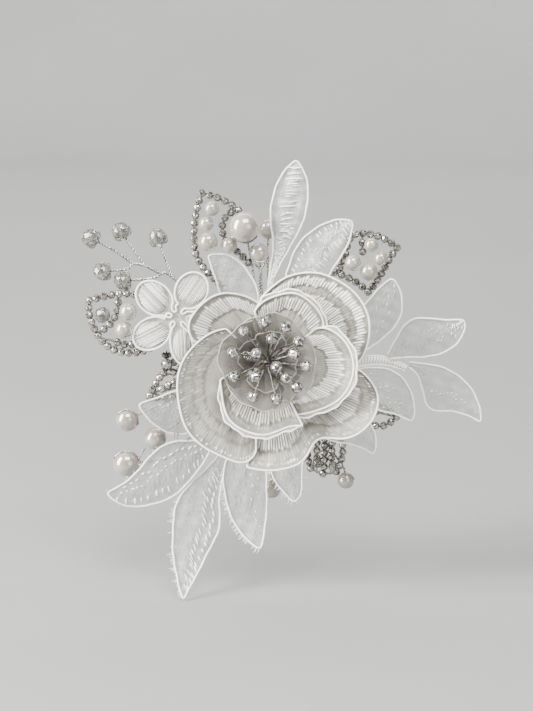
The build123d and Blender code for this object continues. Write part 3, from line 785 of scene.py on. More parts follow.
def make_leaf(name, rows_of_bars, cord_radius, filled, hairs_one, hairs_two, seed):
    node = "lace_leaf_" + name
    front = Front(node, VIEWER)
    marks = front.corners(3)
    spread = [sum(np.linalg.norm(front.outline[i] - front.outline[j]) for j in marks) for i in marks]
    tip = marks[int(np.argmax(spread))]
    base_two, base_one = (marks * 2)[marks.index(tip) + 1:][:2]
    one = front.between(base_one, tip)
    two = front.between(tip, base_two)[::-1]
    rows, columns = 96, 33
    across = np.linspace(0, 1, columns)[None, :, None]
    grid = front.onto(ruled(one, two, rows, across))
    smooth_patch = Patch(grid, VIEWER)
    fold = (1 - np.abs(2 * across - 1)) ** 2
    tip_ease = smoothstep((1 - np.linspace(0, 1, rows)) / 0.1)[:, None, None]
    grid = grid + smooth_patch.normals * (fold * tip_ease * 0.22 * MM)
    grid = wobble(grid, smooth_patch.normals * tip_ease, 0.14 * MM, 620, seed)
    grid = wobble(grid, smooth_patch.normals * tip_ease, 0.07 * MM, 2500, seed + 2)
    patch = Patch(grid, VIEWER)
    middle_share = smoothstep((0.5 - np.abs(across[..., 0] - 0.5) - 0.1) / 0.12)
    cloth_tone = filled * np.broadcast_to(middle_share, (rows, columns))

    ground = Soup()
    ground.add(grid[:-3], grid_faces(rows - 3, columns), cloth_tone[:-3])
    last = (rows - 4) * columns
    ground.add([grid[-3, columns // 2]], [])
    ground.faces += [(last + j, last + j + 1, ground.count - 1) for j in range(columns - 1)]
    cloth = ground.build("organza_" + name, ORGANZA, "organza", node)

    edge = sewn_line(np.vstack([one, two[::-1][1:]]), 60)
    along = np.arange(len(edge)) * CORD_STEP / MM
    ripple = 0.07 * np.sin(along / 1.9 + seed) + 0.05 * np.sin(along / 0.83 + 2 * seed)
    ahead = unit(np.gradient(edge, axis=0))
    outward = unit(np.cross(ahead, VIEWER))
    edge = edge + outward * (ripple * MM)[:, None] + VIEWER * 0.12 * MM
    lace = Soup()
    add_cord(lace, edge, cord_radius)
    rim = lace.build("cord_edge_" + name, CORD, "lace")

    threads = Soup()
    add_bars(threads, patch, rows_of_bars)
    parts = [rim, threads.build("stitches_" + name, STITCH, "lace")]

    if hairs_one or hairs_two:
        lashes = Soup()
        for count_here, border in ((hairs_one, one), (hairs_two, two)):
            line = resample(border, 400)
            for _ in range(count_here):
                i = draw.randint(140, 396)
                out = unit(np.cross(line[i + 1] - line[i - 1], VIEWER))
                if np.dot(out, line[i] - grid[int(i / 400 * (rows - 1)), columns // 2]) < 0:
                    out = -out
                bend = np.array((draw.uniform(-0.5, 0.5), draw.uniform(-0.3, 0.3), draw.uniform(-0.6, 0.2)))
                reach = draw.uniform(0.4, 1.2) * MM
                start = line[i] + out * 0.2 * MM
                middle = start + (out + 0.3 * bend) * reach * 0.55
                lash = spline([start, middle, start + (out + bend) * reach], 6)
                add_tube(lashes, lash, 0.05 * MM, 4, value=0.9)
        parts.append(lashes.build("lash_hairs_" + name, CORD, "lace"))
    declare(smooth_patch)
    return front


leaf_fronts = {}
for seed, (name, spec) in enumerate(LEAVES.items()):
    leaf_fronts[name] = make_leaf(name, *spec, seed=1.3 * seed)

# The stitched stem of the two right-hand leaves: crosswise satin over a padded core, cord on both edges.
stem = Front("lace_spray_stem", VIEWER)
stem_marks = stem.corners(4)
stem_legs = [stem.between(a, b) for a, b in zip(stem_marks, stem_marks[1:] + stem_marks[:1])]
stem_long = sorted(stem_legs, key=run_length)[-2:]
one, two = stem_long[0], stem_long[1][::-1]
rows, columns = 120, 15
across = np.linspace(0, 1, columns)[None, :, None]
grid = stem.onto(ruled(one, two, rows, across))
stem_patch = Patch(grid, VIEWER)
ridge = np.abs(np.sin(np.linspace(0, 22 * np.pi, rows)))[:, None, None]
dome = np.sin(np.pi * across) ** 0.7
raised = grid + stem_patch.normals * (dome * (0.45 + 0.14 * ridge) * MM)
under = grid - stem_patch.normals * 0.35 * MM
soup = Soup()
# The stem's value is lighter on each ridge crest and darker between: painted highlight and painted shade.
add_slab(soup, raised, under, np.broadcast_to(0.3 + 0.6 * ridge[..., 0], (rows, columns)))
stem_cloth = soup.build("satin_spray_stem", SATIN, "lace", "lace_spray_stem")
soup = Soup()
for border in (one, two):
    add_cord(soup, sewn_line(border, 8) + VIEWER * 0.1 * MM, 0.27)
soup.build("cord_edge_spray_stem", CORD, "lace")

# Fine bars of thread that bridge the left small leaf and the lower left leaf.
soup = Soup()
for x in (-27.6, -26.7, -23.9, -21.7, -21.0):
    ends = []
    for leaf, pick in (("left_small", np.argmin), ("lower_left", np.argmax)):
        line = leaf_fronts[leaf].outline
        close = line[np.abs(line[:, 0] - x * MM) < 1.2 * MM]
        ends.append(close[pick(close[:, 2])])
    top, foot = (np.array((x * MM, end[1] - 0.4 * MM, end[2])) for end in ends)
    reach = np.array((0, 0, 0.7 * MM))
    line = spline([top + reach, (top + foot) / 2, foot - reach], 12)
    add_strands(soup, line, 0.12, 0.08, 0.8)
soup.build("lace_bridges", WIRE, "silver_wire")


# ---- rose ---------------------------------------------------------------------------------
def rose_point(x, y, height=0.0):
    """A point of the rose's own plane, from millimetres."""
    return ROSE_ORIGIN + (np.array((x, 0, 0)) + ROSE_UP * y + ROSE_AXIS * height) * MM


# Rim ends and foot ends of each petal in the rose's plane, and its stitched bands: each band is
# (nearest, farthest) distance in mm from the rim, its padding and thread ridges in mm, and its brightness,
# which is painted highlight and glint.
PETALS = {
    "rose_petal_top_right": (
        [(-2, 16.5), (23.4, -1.5), (7, 1), (2, 7)],
        [(1.1, 4.4, 0.42, 0.13, 0.95), (4.4, 6.6, 0.12, 0.03, 0.35), (6.6, 11.5, 0.36, 0.13, 0.85)],
    ),
    "rose_petal_upper_left": (
        [(-19.5, 5.0), (-1.4, 14.5), (-1, 7), (-6, 4)],
        [(1.2, 6.2, 0.42, 0.13, 0.8), (6.2, 12, 0.12, 0.05, 0.4)],
    ),
    "rose_petal_right_outer": (
        [(23.2, -2), (-5.6, -28.1), (0, -8), (7, -3)],
        [(1.1, 2.0, 0.16, 0.08, 0.9), (2.0, 5.2, 0.1, 0.03, 0.35), (5.2, 10.5, 0.4, 0.13, 0.8)],
    ),
    "rose_petal_left": (
        [(-3.0, -24), (-11.0, 8.5), (-6, 3.5), (-3, -7)],
        [(0.9, 1.6, 0.2, 0.14, 1.0), (1.6, 5.0, 0.14, 0.02, 0.25), (5.0, 8.2, 0.16, 0.03, 0.3)],
    ),
    "rose_petal_upper": (
        [(-3.5, 13.0), (12.8, 0.7), (5, 1), (0, 5)],
        [(1.0, 5.6, 0.4, 0.13, 0.75), (5.6, 12, 0.14, 0.04, 0.35)],
    ),
    "rose_petal_right_inner": (
        [(12.6, 8.4), (5.0, -14.5), (2, -5), (5, 2)],
        [(1.2, 3.2, 0.1, 0.03, 0.3), (3.2, 8.6, 0.45, 0.15, 1.0)],
    ),
    "rose_petal_lower": (
        [(9.3, -17.0), (-12.6, -5), (-5, -1), (3, -5)],
        [(1.0, 2.6, 0.1, 0.04, 0.3), (2.6, 7.2, 0.36, 0.11, 0.6)],
    ),
}
# How far, in mm, the net shows past a petal's rim before its second cord.
NET_MARGINS = {"rose_petal_upper": 1.2, "rose_petal_right_inner": 1.5, "rose_petal_lower": 1.3}
CUP_PETALS = {"cup_petal_top": 80, "cup_petal_right": -15, "cup_petal_bottom": -100, "cup_petal_left": 165}


def petal_patch(node, ends, rows, columns):
    """The petal's smooth grid from foot to rim, and its rim line."""
    front = Front(node, ROSE_AXIS)
    flat = front.outline - np.outer((front.outline - ROSE_ORIGIN) @ ROSE_AXIS, ROSE_AXIS)
    rim_start, rim_end, foot_one, foot_two = (
        int(np.argmin(np.linalg.norm(flat - rose_point(*end), axis=1))) for end in ends
    )
    ways_round = (
        (front.between(rim_start, rim_end), front.between(foot_one, foot_two)[::-1]),
        (front.between(rim_end, rim_start)[::-1], front.between(foot_two, foot_one)),
    )
    rim, foot = min(ways_round, key=lambda way: run_length(way[0]) + run_length(way[1]))
    columns = columns or int(run_length(rim) / (0.125 * MM)) | 1
    high, low = resample(rim, columns), resample(foot, columns)
    v = np.linspace(0, 1, rows)[:, None, None]
    grid = front.onto(low[None] * (1 - v) + high[None] * v)
    return Patch(grid, ROSE_AXIS), rim


def make_petal(node, ends, bands, seed):
    patch, rim = petal_patch(node, ends, 72, None)
    grid, normals = patch.grid, patch.normals
    rows, columns = grid.shape[:2]
    steps = np.linalg.norm(np.diff(grid, axis=0), axis=2)
    from_rim = np.vstack([np.cumsum(steps[::-1], axis=0)[::-1], np.zeros((1, columns))]) / MM
    u = np.linspace(0, 1, columns)
    count = max(8, int(round(run_length(rim) / (0.92 * MM))))
    phase = u * count
    which = np.minimum(phase.astype(int), count - 1)
    bump = 1 - (2 * (phase - which) - 1) ** 2
    uneven = dice.uniform(0.5, 1.0, count)[which]
    # A random painted sheen for each satin thread.
    painted_sheen = dice.uniform(-0.4, 0.3, count)[which]
    ease = smoothstep(np.minimum(u, 1 - u) / 0.05)
    lift = np.zeros((rows, columns))
    # Painted light in the tone: each band's painted brightness, lighter on every ridge crest and darker in
    # the valleys between.
    tone_with_painted_light = np.full((rows, columns), 0.12)
    for near, far, padding, ridge, painted_brightness in bands:
        ragged = dice.uniform(-0.5, 0.5, (2, count))[:, which]
        inside = smoothstep((from_rim - near + ragged[0]) / 0.8)
        inside = inside * smoothstep((far + ragged[1] - from_rim) / 0.8)
        lift += inside * ease * (0.5 * padding + 1.7 * ridge * bump * uneven)
        tone_with_painted_light += inside * ease * (painted_brightness - 0.12 + painted_sheen * painted_brightness) * (0.25 + 0.75 * bump**1.5)
    beyond = smoothstep((from_rim - bands[-1][1]) / 0.8)
    lift += beyond * ease * 0.05 * bump
    # Past the last band, a little painted highlight on each ridge crest.
    tone_with_painted_light += beyond * 0.2 * bump
    shaped = wobble(grid + normals * (lift * MM)[..., None], normals, 0.12 * MM, 420, seed)
    soup = Soup()
    soup.add(shaped, grid_faces(rows, columns), np.clip(tone_with_painted_light, 0, 1.2))
    cloth = soup.build("satin_" + node[5:], SATIN, "petal", node)
    top = Patch(shaped, ROSE_AXIS)
    # Glinting threads along the brighter bands; each thread's brightness is painted glint.
    threads = Soup()
    for near, far, _, _, painted_brightness in bands:
        for k in range(count):
            if painted_brightness < 0.36 or dice.random() > painted_brightness:
                continue
            column = (k + 0.5) / count
            distances = from_rim[:, int(column * (columns - 1))]
            reach = np.linspace(near + dice.uniform(0.2, 0.8), far - dice.uniform(0.2, 1.2), 12)
            line_v = np.interp(reach, distances[::-1], np.linspace(1, 0, rows))
            drift = column + dice.uniform(-0.16, 0.16) / count
            line, facing = top.at(np.full(12, drift), line_v, np.full(12, 0.03 * MM))
            add_threads(threads, line[None], facing[None], 0.12 * MM, painted_brightness * dice.uniform(0.5, 1.0))
    side_one, side_two = grid[int(rows * 0.45):, 0], grid[int(rows * 0.45):, -1]
    edge = sewn_line(np.vstack([side_one[:-1], grid[-1], side_two[::-1][1:]]), 14)
    along = np.arange(len(edge)) * CORD_STEP / MM
    edge = edge + ROSE_AXIS * (0.22 * MM) + ROSE_UP * (0.06 * MM * np.sin(along / 1.7 + seed))[:, None]
    lace = Soup()
    add_cord(lace, edge, 0.25)
    extras = [threads.build("stitches_" + node[5:], STITCH, "lace")]
    if node in NET_MARGINS:
        rim_line = grid[-1]
        inward = unit(grid[-2] - rim_line)
        reach = NET_MARGINS[node] * smoothstep(np.minimum(u, 1 - u) / 0.12)
        reach = reach * (1 + 0.18 * np.sin(u * 31 + seed) + 0.1 * np.sin(u * 67))
        outer = rim_line - inward * (reach * MM)[:, None] - ROSE_AXIS * 0.3 * MM
        share = np.linspace(0.05, 1, 5)[:, None, None]
        strip = Soup()
        strip.add(rim_line * (1 - share) + outer * share, grid_faces(5, columns), np.full((5, columns), 0.0))
        extras.append(strip.build("net_margin_" + node[5:], NET, "lace"))
        add_cord(lace, sewn_line(outer, 8), 0.22, pitch=1.0)
    cord_piece = lace.build("cord_edge_" + node[5:], CORD, "lace")
    declare(patch)


for seed, (node, (ends, bands)) in enumerate(PETALS.items()):
    make_petal(node, ends, bands, 0.9 * seed)


def make_cup(node, angle, seed):
    ends = []
    for step, reach in ((-55, 11.4), (55, 11.4), (25, 3.4), (-25, 3.4)):
        turn = math.radians(angle + step)
        ends.append((reach * math.cos(turn), reach * math.sin(turn)))
    rows, columns = 44, 121
    patch, _ = petal_patch(node, ends, rows, columns)
    u = np.linspace(0, 1, columns)[None, :]
    v = np.linspace(0, 1, rows)[:, None]
    ruffle = v**2 * (0.4 * np.sin(u * 11 + seed) + 0.22 * np.sin(u * 26 + 2 * seed + 3 * v))
    shaped = patch.grid + patch.normals * (ruffle * MM)[..., None]
    soup = Soup()
    # Its value rises from foot to rim, so the cup material paints it darker towards the foot: painted shade.
    soup.add(shaped, grid_faces(rows, columns), np.broadcast_to(v, (rows, columns)))
    cloth = soup.build("organza_" + node, CUP_ORGANZA, "organza", node)
    lace = Soup()
    add_cord(lace, sewn_line(shaped[-1], 6), 0.17, 8, 0.9, 0.12, 0.7)
    face = Patch(shaped, ROSE_AXIS)
    # Thin dark lines along the creases: painted shade.
    for start in np.linspace(0.08, 0.92, 9):
        line_v = np.linspace(0.15, draw.uniform(0.6, 0.9), 9)
        line_u = np.full(9, start) + 0.02 * np.sin(line_v * 9 + seed)
        crease_shade_line, _ = face.at(line_u, line_v, np.full(9, 0.04 * MM))
        add_tube(lace, crease_shade_line, 0.07 * MM, 5, value=0.4)
    trim = lace.build("cord_edge_" + node, FINE_CORD_SHADED, "lace")
    declare(patch)

    # A shorter petal stands inside this one, with a soft turned edge.
    rows, columns = 24, 81
    u = np.linspace(0.08, 0.92, columns)[None, :]
    v = np.linspace(0.06, 1, rows)[:, None] * (0.6 - 0.3 * (2 * u - 1) ** 4)
    stand = 0.3 + 2.0 * v + v * (0.5 * np.sin(u * 13 + seed) + 0.25 * np.sin(u * 31))
    inner, _ = face.at(np.broadcast_to(u + 0.1 * np.sin(seed), v.shape), v, stand * MM)
    soup = Soup()
    # Painted shade: darker towards its foot.
    soup.add(inner, grid_faces(rows, columns), 0.1 + 1.2 * v)
    fold = soup.build("organza_inner_" + node, CUP_ORGANZA, "organza")
    lace = Soup()
    add_cord(lace, sewn_line(inner[-1], 6), 0.15, 8, 0.9, 0.12, 0.7)
    fold_edge = lace.build("cord_edge_inner_" + node, FINE_CORD_SHADED, "lace")
    declare(Patch(inner, ROSE_AXIS))


for seed, (node, angle) in enumerate(CUP_PETALS.items()):
    make_cup(node, angle, 1.7 * seed)


# A gathered round of the same organza closes the bottom of the bowl.
TUFT_RADIUS = 5.05
rows, columns = 14, 97
reach = np.linspace(0.5, TUFT_RADIUS, rows)[:, None]
turn = np.linspace(0, 2 * np.pi, columns)[None, :]
height = 5.0 + 0.035 * reach**2 + 0.12 * (reach / 5) * np.sin(turn * 13) + 0.06 * np.sin(turn * 29)
grid = ROSE_ORIGIN + MM * (
    (reach * np.cos(turn))[..., None] * np.array((1.0, 0, 0))
    + (reach * np.sin(turn))[..., None] * ROSE_UP
    + (height + 0 * reach)[..., None] * ROSE_AXIS
)
soup = Soup()
# The low value paints the bowl's bottom dark: painted shade.
soup.add(grid[:, :-1], grid_faces(rows, columns - 1, wrap=True), np.full((rows, columns - 1), 0.12))
tuft = soup.build("organza_bowl_tuft", CUP_ORGANZA, "organza")


# ---- small blossom ------------------------------------------------------------------------
BLOSSOM = np.array((-26.3, 0.0, 14.8)) * MM
# Each lobe's direction in degrees, its distance from the middle and its half length and width in mm.
LOBES = (
    (140, 8.0, 5.4, 4.3),
    (62, 8.2, 5.2, 4.3),
    (213, 8.3, 5.4, 4.2),
    (278, 7.6, 5.6, 3.0),
    (345, 4.6, 3.6, 2.6),
)
SAMPLES = 480
# The cord's way round a slot: sideways and inward, as shares of the slot's half width and depth.
SLOT = ((1, 0.25), (1, 0.7), (0.7, 0.95), (0, 1.06), (-0.7, 0.95), (-1, 0.7), (-1, 0.25))
blossom = Front("small_blossom", VIEWER)
middle = blossom.onto([BLOSSOM])[0]
outline = resample(np.vstack([blossom.outline, blossom.outline[:1]]), SAMPLES + 1)
rows = 22
v = np.linspace(0.02, 1, rows)[:, None, None]
grid = middle + (outline[None] - middle) * v
blossom_patch = Patch(grid, VIEWER)
shaped = wobble(grid, np.broadcast_to(VIEWER, grid.shape), 0.12 * MM, 500, 0.4)
soup = Soup()
soup.add(shaped[:, :-1], grid_faces(rows, SAMPLES, wrap=True), np.full((rows, SAMPLES), 0.1))
blossom_cloth = soup.build("organza_small_blossom", NET, "organza", "small_blossom")

threads = Soup()
for angle, reach, long_half, wide_half in LOBES:
    turn = math.radians(angle)
    out = np.array((math.cos(turn), 0, math.sin(turn)))
    over = np.array((-math.sin(turn), 0, math.cos(turn)))
    centre = middle + out * (reach + 0.3) * MM
    lean = math.radians(24)
    rise = np.cross(out * math.cos(lean) + over * math.sin(lean), VIEWER)
    a, b = (long_half - 0.75) * MM, (wide_half - 0.65) * MM
    for k in range(int(2 * b / (0.42 * MM))):
        offset = -b + (k + 0.5) * 0.42 * MM
        half = a * math.sqrt(max(0.04, 1 - (offset / b) ** 2)) * draw.uniform(0.86, 1.0)
        t = np.linspace(-1, 1, 9)[:, None]
        dome = (1 - t**2) * 0.55 * MM * (1 - 0.5 * (offset / b) ** 2)
        line = centre + over * offset + (out * half + rise * 0.12 * half) * t + VIEWER * (dome + 0.1 * MM)
        normals = np.broadcast_to(VIEWER, (1, 9, 3))
        # Each stroke gets a random painted glint brightness.
        add_threads(threads, line[None], normals, 0.23 * MM, draw.uniform(0.1, 0.8))
blossom_threads = threads.build("stitches_small_blossom", STITCH, "lace")

# Its cord follows each lobe and dips into the slot between neighbours.
turning = unit(outline[:-1] - np.roll(outline[:-1], 1, 0))
bend = np.arccos(np.clip((turning * np.roll(turning, -1, 0)).sum(1), -1, 1))
notches = []
for i in np.argsort(-bend):
    if all(min(abs(i - j), SAMPLES - abs(i - j)) > 25 for j in notches):
        notches.append(int(i))
    if len(notches) == len(LOBES):
        break
notches.sort()
path = []
for start, stop in zip(notches, notches[1:] + [notches[0] + SAMPLES]):
    lobe = [outline[i % SAMPLES] for i in range(start + 4, stop - 3)]
    notch = outline[stop % SAMPLES]
    inward = unit(middle - notch)
    sideways = np.cross(inward, VIEWER)
    if np.dot(sideways, lobe[-1] - notch) < 0:
        sideways = -sideways
    depth = min(3.6 * MM, 0.55 * np.linalg.norm(middle - notch))
    path += lobe + [notch + sideways * 0.55 * MM * side + inward * depth * reach for side, reach in SLOT]
path = np.array(path)
path = resample(np.vstack([path, path[:1]]), int(run_length(path) / CORD_STEP))[:-1]
path = softened(path, 7, closed=True)
soup = Soup()
add_cord(soup, path + VIEWER * 0.2 * MM, 0.27, depth=0.12, closed=True)
blossom_cord = soup.build("cord_edge_small_blossom", CORD, "lace")
declare(blossom_patch)


# ---- stones -------------------------------------------------------------------------------
def islands(node):
    """The places of the loose parts of a CAD node's mesh, as (lowest, highest, centre) arrays."""
    mesh = NODES[node].data
    places, index = welded(mesh)
    root = list(range(len(places)))

    def find(i):
        while root[i] != i:
            root[i] = root[root[i]]
            i = root[i]
        return i

    for polygon in mesh.polygons:
        first = find(index[polygon.vertices[0]])
        for other in polygon.vertices[1:]:
            root[find(index[other])] = first
            first = find(first)
    groups = {}
    for vertex, i in zip(mesh.vertices, index):
        groups.setdefault(find(i), []).append(tuple(vertex.co))
    out = []
    for points in groups.values():
        points = np.array(points)
        out.append((points.min(0), points.max(0), (points.min(0) + points.max(0)) / 2))
    return sorted(out, key=lambda item: tuple(item[2]))


def plane_of(axis):
    """Two directions square to the axis."""
    side = np.cross(axis, (0.0, 0.0, 1.0))
    if np.linalg.norm(side) < 0.1:
        side = np.array((1.0, 0.0, 0.0))
    side = unit(side)
    return side, np.cross(axis, side)


def around(angles, side, other):
    """Unit directions at the angles in the plane of side and other."""
    return np.cos(angles)[:, None] * side + np.sin(angles)[:, None] * other


def add_facets(soup, faces, centre, power=1.0):
    """Flat faces turned away from the centre, each with a random painted brightness for its glint."""
    for face in faces:
        face = np.array(face)
        if np.dot(np.cross(face[1] - face[0], face[2] - face[0]), face.mean(0) - centre) < 0:
            face = face[::-1]
        soup.add(face, [tuple(range(len(face)))], np.full(len(face), draw.random() ** power))


def add_brilliant(soup, base, axis, radius, height, facets=8):
    """A round cut stone: girdle, kite and star facets and table, each facet its own face."""
    side, other = plane_of(axis)
    spin = draw.uniform(0, 2 * math.pi)

    def ring(count, reach, level, shift):
        angles = spin + (np.arange(count) + shift) * 2 * np.pi / count
        return base + reach * around(angles, side, other) + axis * level

    girdle_low = ring(2 * facets, radius * 0.97, 0.0, 0)
    girdle = ring(2 * facets, radius, 0.28 * height, 0)
    crown = ring(facets, radius * 0.78, 0.72 * height, 0.5)
    table = ring(facets, radius * 0.5, height, 0)
    faces = []
    for i in range(2 * facets):
        j = (i + 1) % (2 * facets)
        faces.append([girdle_low[i], girdle_low[j], girdle[j], girdle[i]])
    for i in range(facets):
        j = (i + 1) % facets
        faces.append([girdle[2 * i], girdle[2 * i + 1], crown[i]])
        faces.append([girdle[2 * i + 1], girdle[2 * j], crown[i]])
        faces.append([crown[i], girdle[2 * j], crown[j], table[j]])
        faces.append([table[i], crown[i], table[j]])
    apex = base + axis * height
    faces += [[table[i], table[(i + 1) % facets], apex] for i in range(facets)]
    add_facets(soup, faces, base, 0.8)


def add_claws(soup, base, axis, radius, height, count=4, thick=0.16):
    """Prongs that stand round a stone and fold over its girdle."""
    side, other = plane_of(axis)
    spin = draw.uniform(0, 2 * math.pi)
    for k in range(count):
        angle = spin + 2 * math.pi * k / count
        out = math.cos(angle) * side + math.sin(angle) * other
        bends = ((1.0, 0.0), (1.1, 0.45), (1.0, 0.8), (0.72, 1.0))
        points = spline([base + out * radius * reach + axis * height * level for reach, level in bends], 7)
        add_tube(soup, points, np.linspace(1.0, 0.62, 7) * thick * MM, 5)


def add_cup_wall(soup, base, axis, radius, depth, count=16):
    """A low cup wall with a rolled lip."""
    side, other = plane_of(axis)
    angles = full_turn(count)
    profile = ((0.86, -1.0), (0.98, -0.72), (1.06, -0.1), (1.1, 0.05))
    profile += ((1.06, 0.16), (0.98, 0.1), (0.94, -0.1))
    wall = around(angles, side, other)
    rings = [base + reach * radius * wall + axis * level * depth for reach, level in profile]
    faces = [face[::-1] for face in grid_faces(len(profile), count, wrap=True)]
    soup.add(np.array(rings), faces + [tuple(range(count))])


CHAIN_LEAVES = ("upper_left", "left", "upper_right", "lower_left", "bottom", "right")
for name in CHAIN_LEAVES:
    stones, metal = Soup(), Soup()
    for low, high, centre in islands("rhinestones_" + name):
        base = np.array((centre[0], high[1], centre[2]))
        axis = unit(VIEWER + np.array((draw.uniform(-0.09, 0.09), 0, draw.uniform(-0.09, 0.09))))
        add_brilliant(stones, base, axis, 0.92 * MM, 0.62 * MM, 6)
        add_claws(metal, base - axis * 0.15 * MM, axis, 0.93 * MM, 0.75 * MM)
        add_cup_wall(metal, base, axis, 0.96 * MM, 0.85 * MM)
    stones.build_facets("brilliants_" + name, CHAIN_STONE, "rhinestone", "rhinestones_" + name)
    metal.build("claws_" + name, CHAIN, "silver_chain")

rose_stones, rose_prongs = Soup(), Soup()
stamens = []
for _, _, centre in islands("stamen_stones"):
    height = np.dot(centre - ROSE_ORIGIN, ROSE_AXIS) - 0.5 * MM
    along = np.dot(centre - ROSE_ORIGIN, ROSE_UP)
    base = ROSE_ORIGIN + np.array((centre[0] - ROSE_ORIGIN[0], 0, 0)) + ROSE_UP * along + ROSE_AXIS * height
    stamens.append(base)
hub = rose_point(0, 0, 8.5)
for base in stamens:
    sway = np.array((draw.uniform(-0.05, 0.05), 0, draw.uniform(-0.05, 0.05)))
    lean = unit(ROSE_AXIS + 0.22 * unit(base - hub) + sway)
    add_brilliant(rose_stones, base - lean * 0.05 * MM, lean, 1.35 * MM, 0.95 * MM, 8)
    add_claws(rose_prongs, base - lean * 0.5 * MM, lean, 1.38 * MM, 1.35 * MM, 5, 0.2)
    add_cup_wall(rose_prongs, base, lean, 1.42 * MM, 1.0 * MM, count=22)
rose_stones.build_facets("brilliants_stamens", STONE, "rhinestone", "stamen_stones")
rose_prongs.build("prong_cups_stamens", CHAIN, "silver_chain", "stamen_cups")

# Stamen wires: each leaves the bound hub and bends out to its cup.
soup = Soup()
for base in stamens:
    away = base - hub
    foot = rose_point(0, 0, 6.0) + unit(np.array((away[0], 0, away[2]))) * 0.5 * MM
    knee = hub + away * 0.35 - ROSE_AXIS * 0.5 * MM
    line = spline([foot, knee, hub + away * 0.75, base - ROSE_AXIS * 0.9 * MM], 40)
    add_strands(soup, line, 0.16, 0.13, 1.5, value=0.4)
core = resample([rose_point(0, 0, 0.2), rose_point(0, 0, 7.6)], 60)
add_strands(soup, core, 0.55, 0.5, 3.0, 3, 8)
wrap = around(full_turn(22), np.array((1.0, 0, 0)), ROSE_UP)
for k in range(9):
    add_tube(soup, rose_point(0, 0, 4.4 + 0.36 * k) + 1.2 * MM * wrap, 0.18 * MM, 6, closed=True)
soup.build("stamen_wire_bundle", CHAIN, "silver_wire", "stamen_wires")

# Binding coil round the left stamen wire.
low, high = (np.array(corner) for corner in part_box("binding_coil"))


def off_coil(base):
    return np.linalg.norm((base - (low + high) / 2)[[0, 2]]) + 10 * max(0.0, base[0] - low[0])


away = min(stamens, key=off_coil) - hub
turns = np.linspace(0, 6 * 2 * np.pi, 220)
wound = around(turns, *plane_of(unit(away)))
soup = Soup()
add_tube(soup, hub + away * (0.32 + 0.34 * turns / turns[-1])[:, None] + 1.1 * MM * wound, 0.17 * MM, 7)
soup.build("wound_binding_coil", NICKEL, "silver_wire", "binding_coil")


# ---- pearls -------------------------------------------------------------------------------
def add_pearl(soup, centre, radius, hole_axis):
    """A pressed pearl: slightly uneven ball with a dimple where the wire goes through."""
    side, other = plane_of(hole_axis)
    rings, segments = 40, 56
    polar = np.linspace(0.0, np.pi, rings)
    angle = full_turn(segments)
    reach, level = np.sin(polar), np.cos(polar)
    dimple = 1 - 0.05 * np.exp(-((reach / 0.12) ** 2)) - 0.3 * np.exp(-((reach / 0.05) ** 2))
    points = centre + radius * dimple[:, None, None] * (
        reach[:, None, None] * around(angle, side, other) + level[:, None, None] * hole_axis
    )
    body = points[1:-1].reshape(-1, 3)
    start = len(body)
    caps = [(start, i, (i + 1) % segments) for i in range(segments)]
    last = (rings - 3) * segments
    caps += [(start + 1, last + (i + 1) % segments, last + i) for i in range(segments)]
    faces = grid_faces(rings - 2, segments, wrap=True) + caps
    soup.add(np.vstack([body, points[0, :1], points[-1, :1]]), faces)


def balls(node):
    return [(centre, float((high - low).max() / 2)) for low, high, centre in islands(node)]


def add_wire_arc(soup, centre, radius, start, end, bulge, wire=0.2):
    """A wire that hugs a pearl from one side over to the other."""
    t = np.linspace(0, 1, 26)[:, None]
    line = unit(unit(start) * (1 - t) + unit(end) * t + np.sin(np.pi * t) * bulge)
    add_tube(soup, centre + line * (radius + wire * 0.8 * MM), wire * MM, 7)


PEARLS = {"leaf_pearls": "pearls_on_leaves", "wired_pearls": "pearls_on_wires", "large_pearl": "pearl_large"}
for node, piece_name in PEARLS.items():
    soup = Soup()
    for centre, radius in balls(node):
        axis = unit(np.array((draw.uniform(-1, 1), draw.uniform(-0.15, 0.3), draw.uniform(-1, 1))))
        add_pearl(soup, centre, radius, axis)
    soup.build(piece_name, PEARL, "pearl", node)

# Wires: from the seat out to each pearl, two strands twisted, then one strand over the pearl.
SEAT = (-2.0, 3.5)
SEAT_RADIUS = 9
WIRE_Y = -2.35


def seat_rim(x, z):
    """Where the wire towards (x, z) leaves the seat, in mm."""
    out = unit(np.array((x - SEAT[0], z - SEAT[1])))
    return SEAT[0] + SEAT_RADIUS * out[0], SEAT[1] + SEAT_RADIUS * out[1]


def wire_plane(points):
    """Places in the plane of the wires, from (x, z) in mm."""
    return np.array([(x, WIRE_Y, z) for x, z in points]) * MM


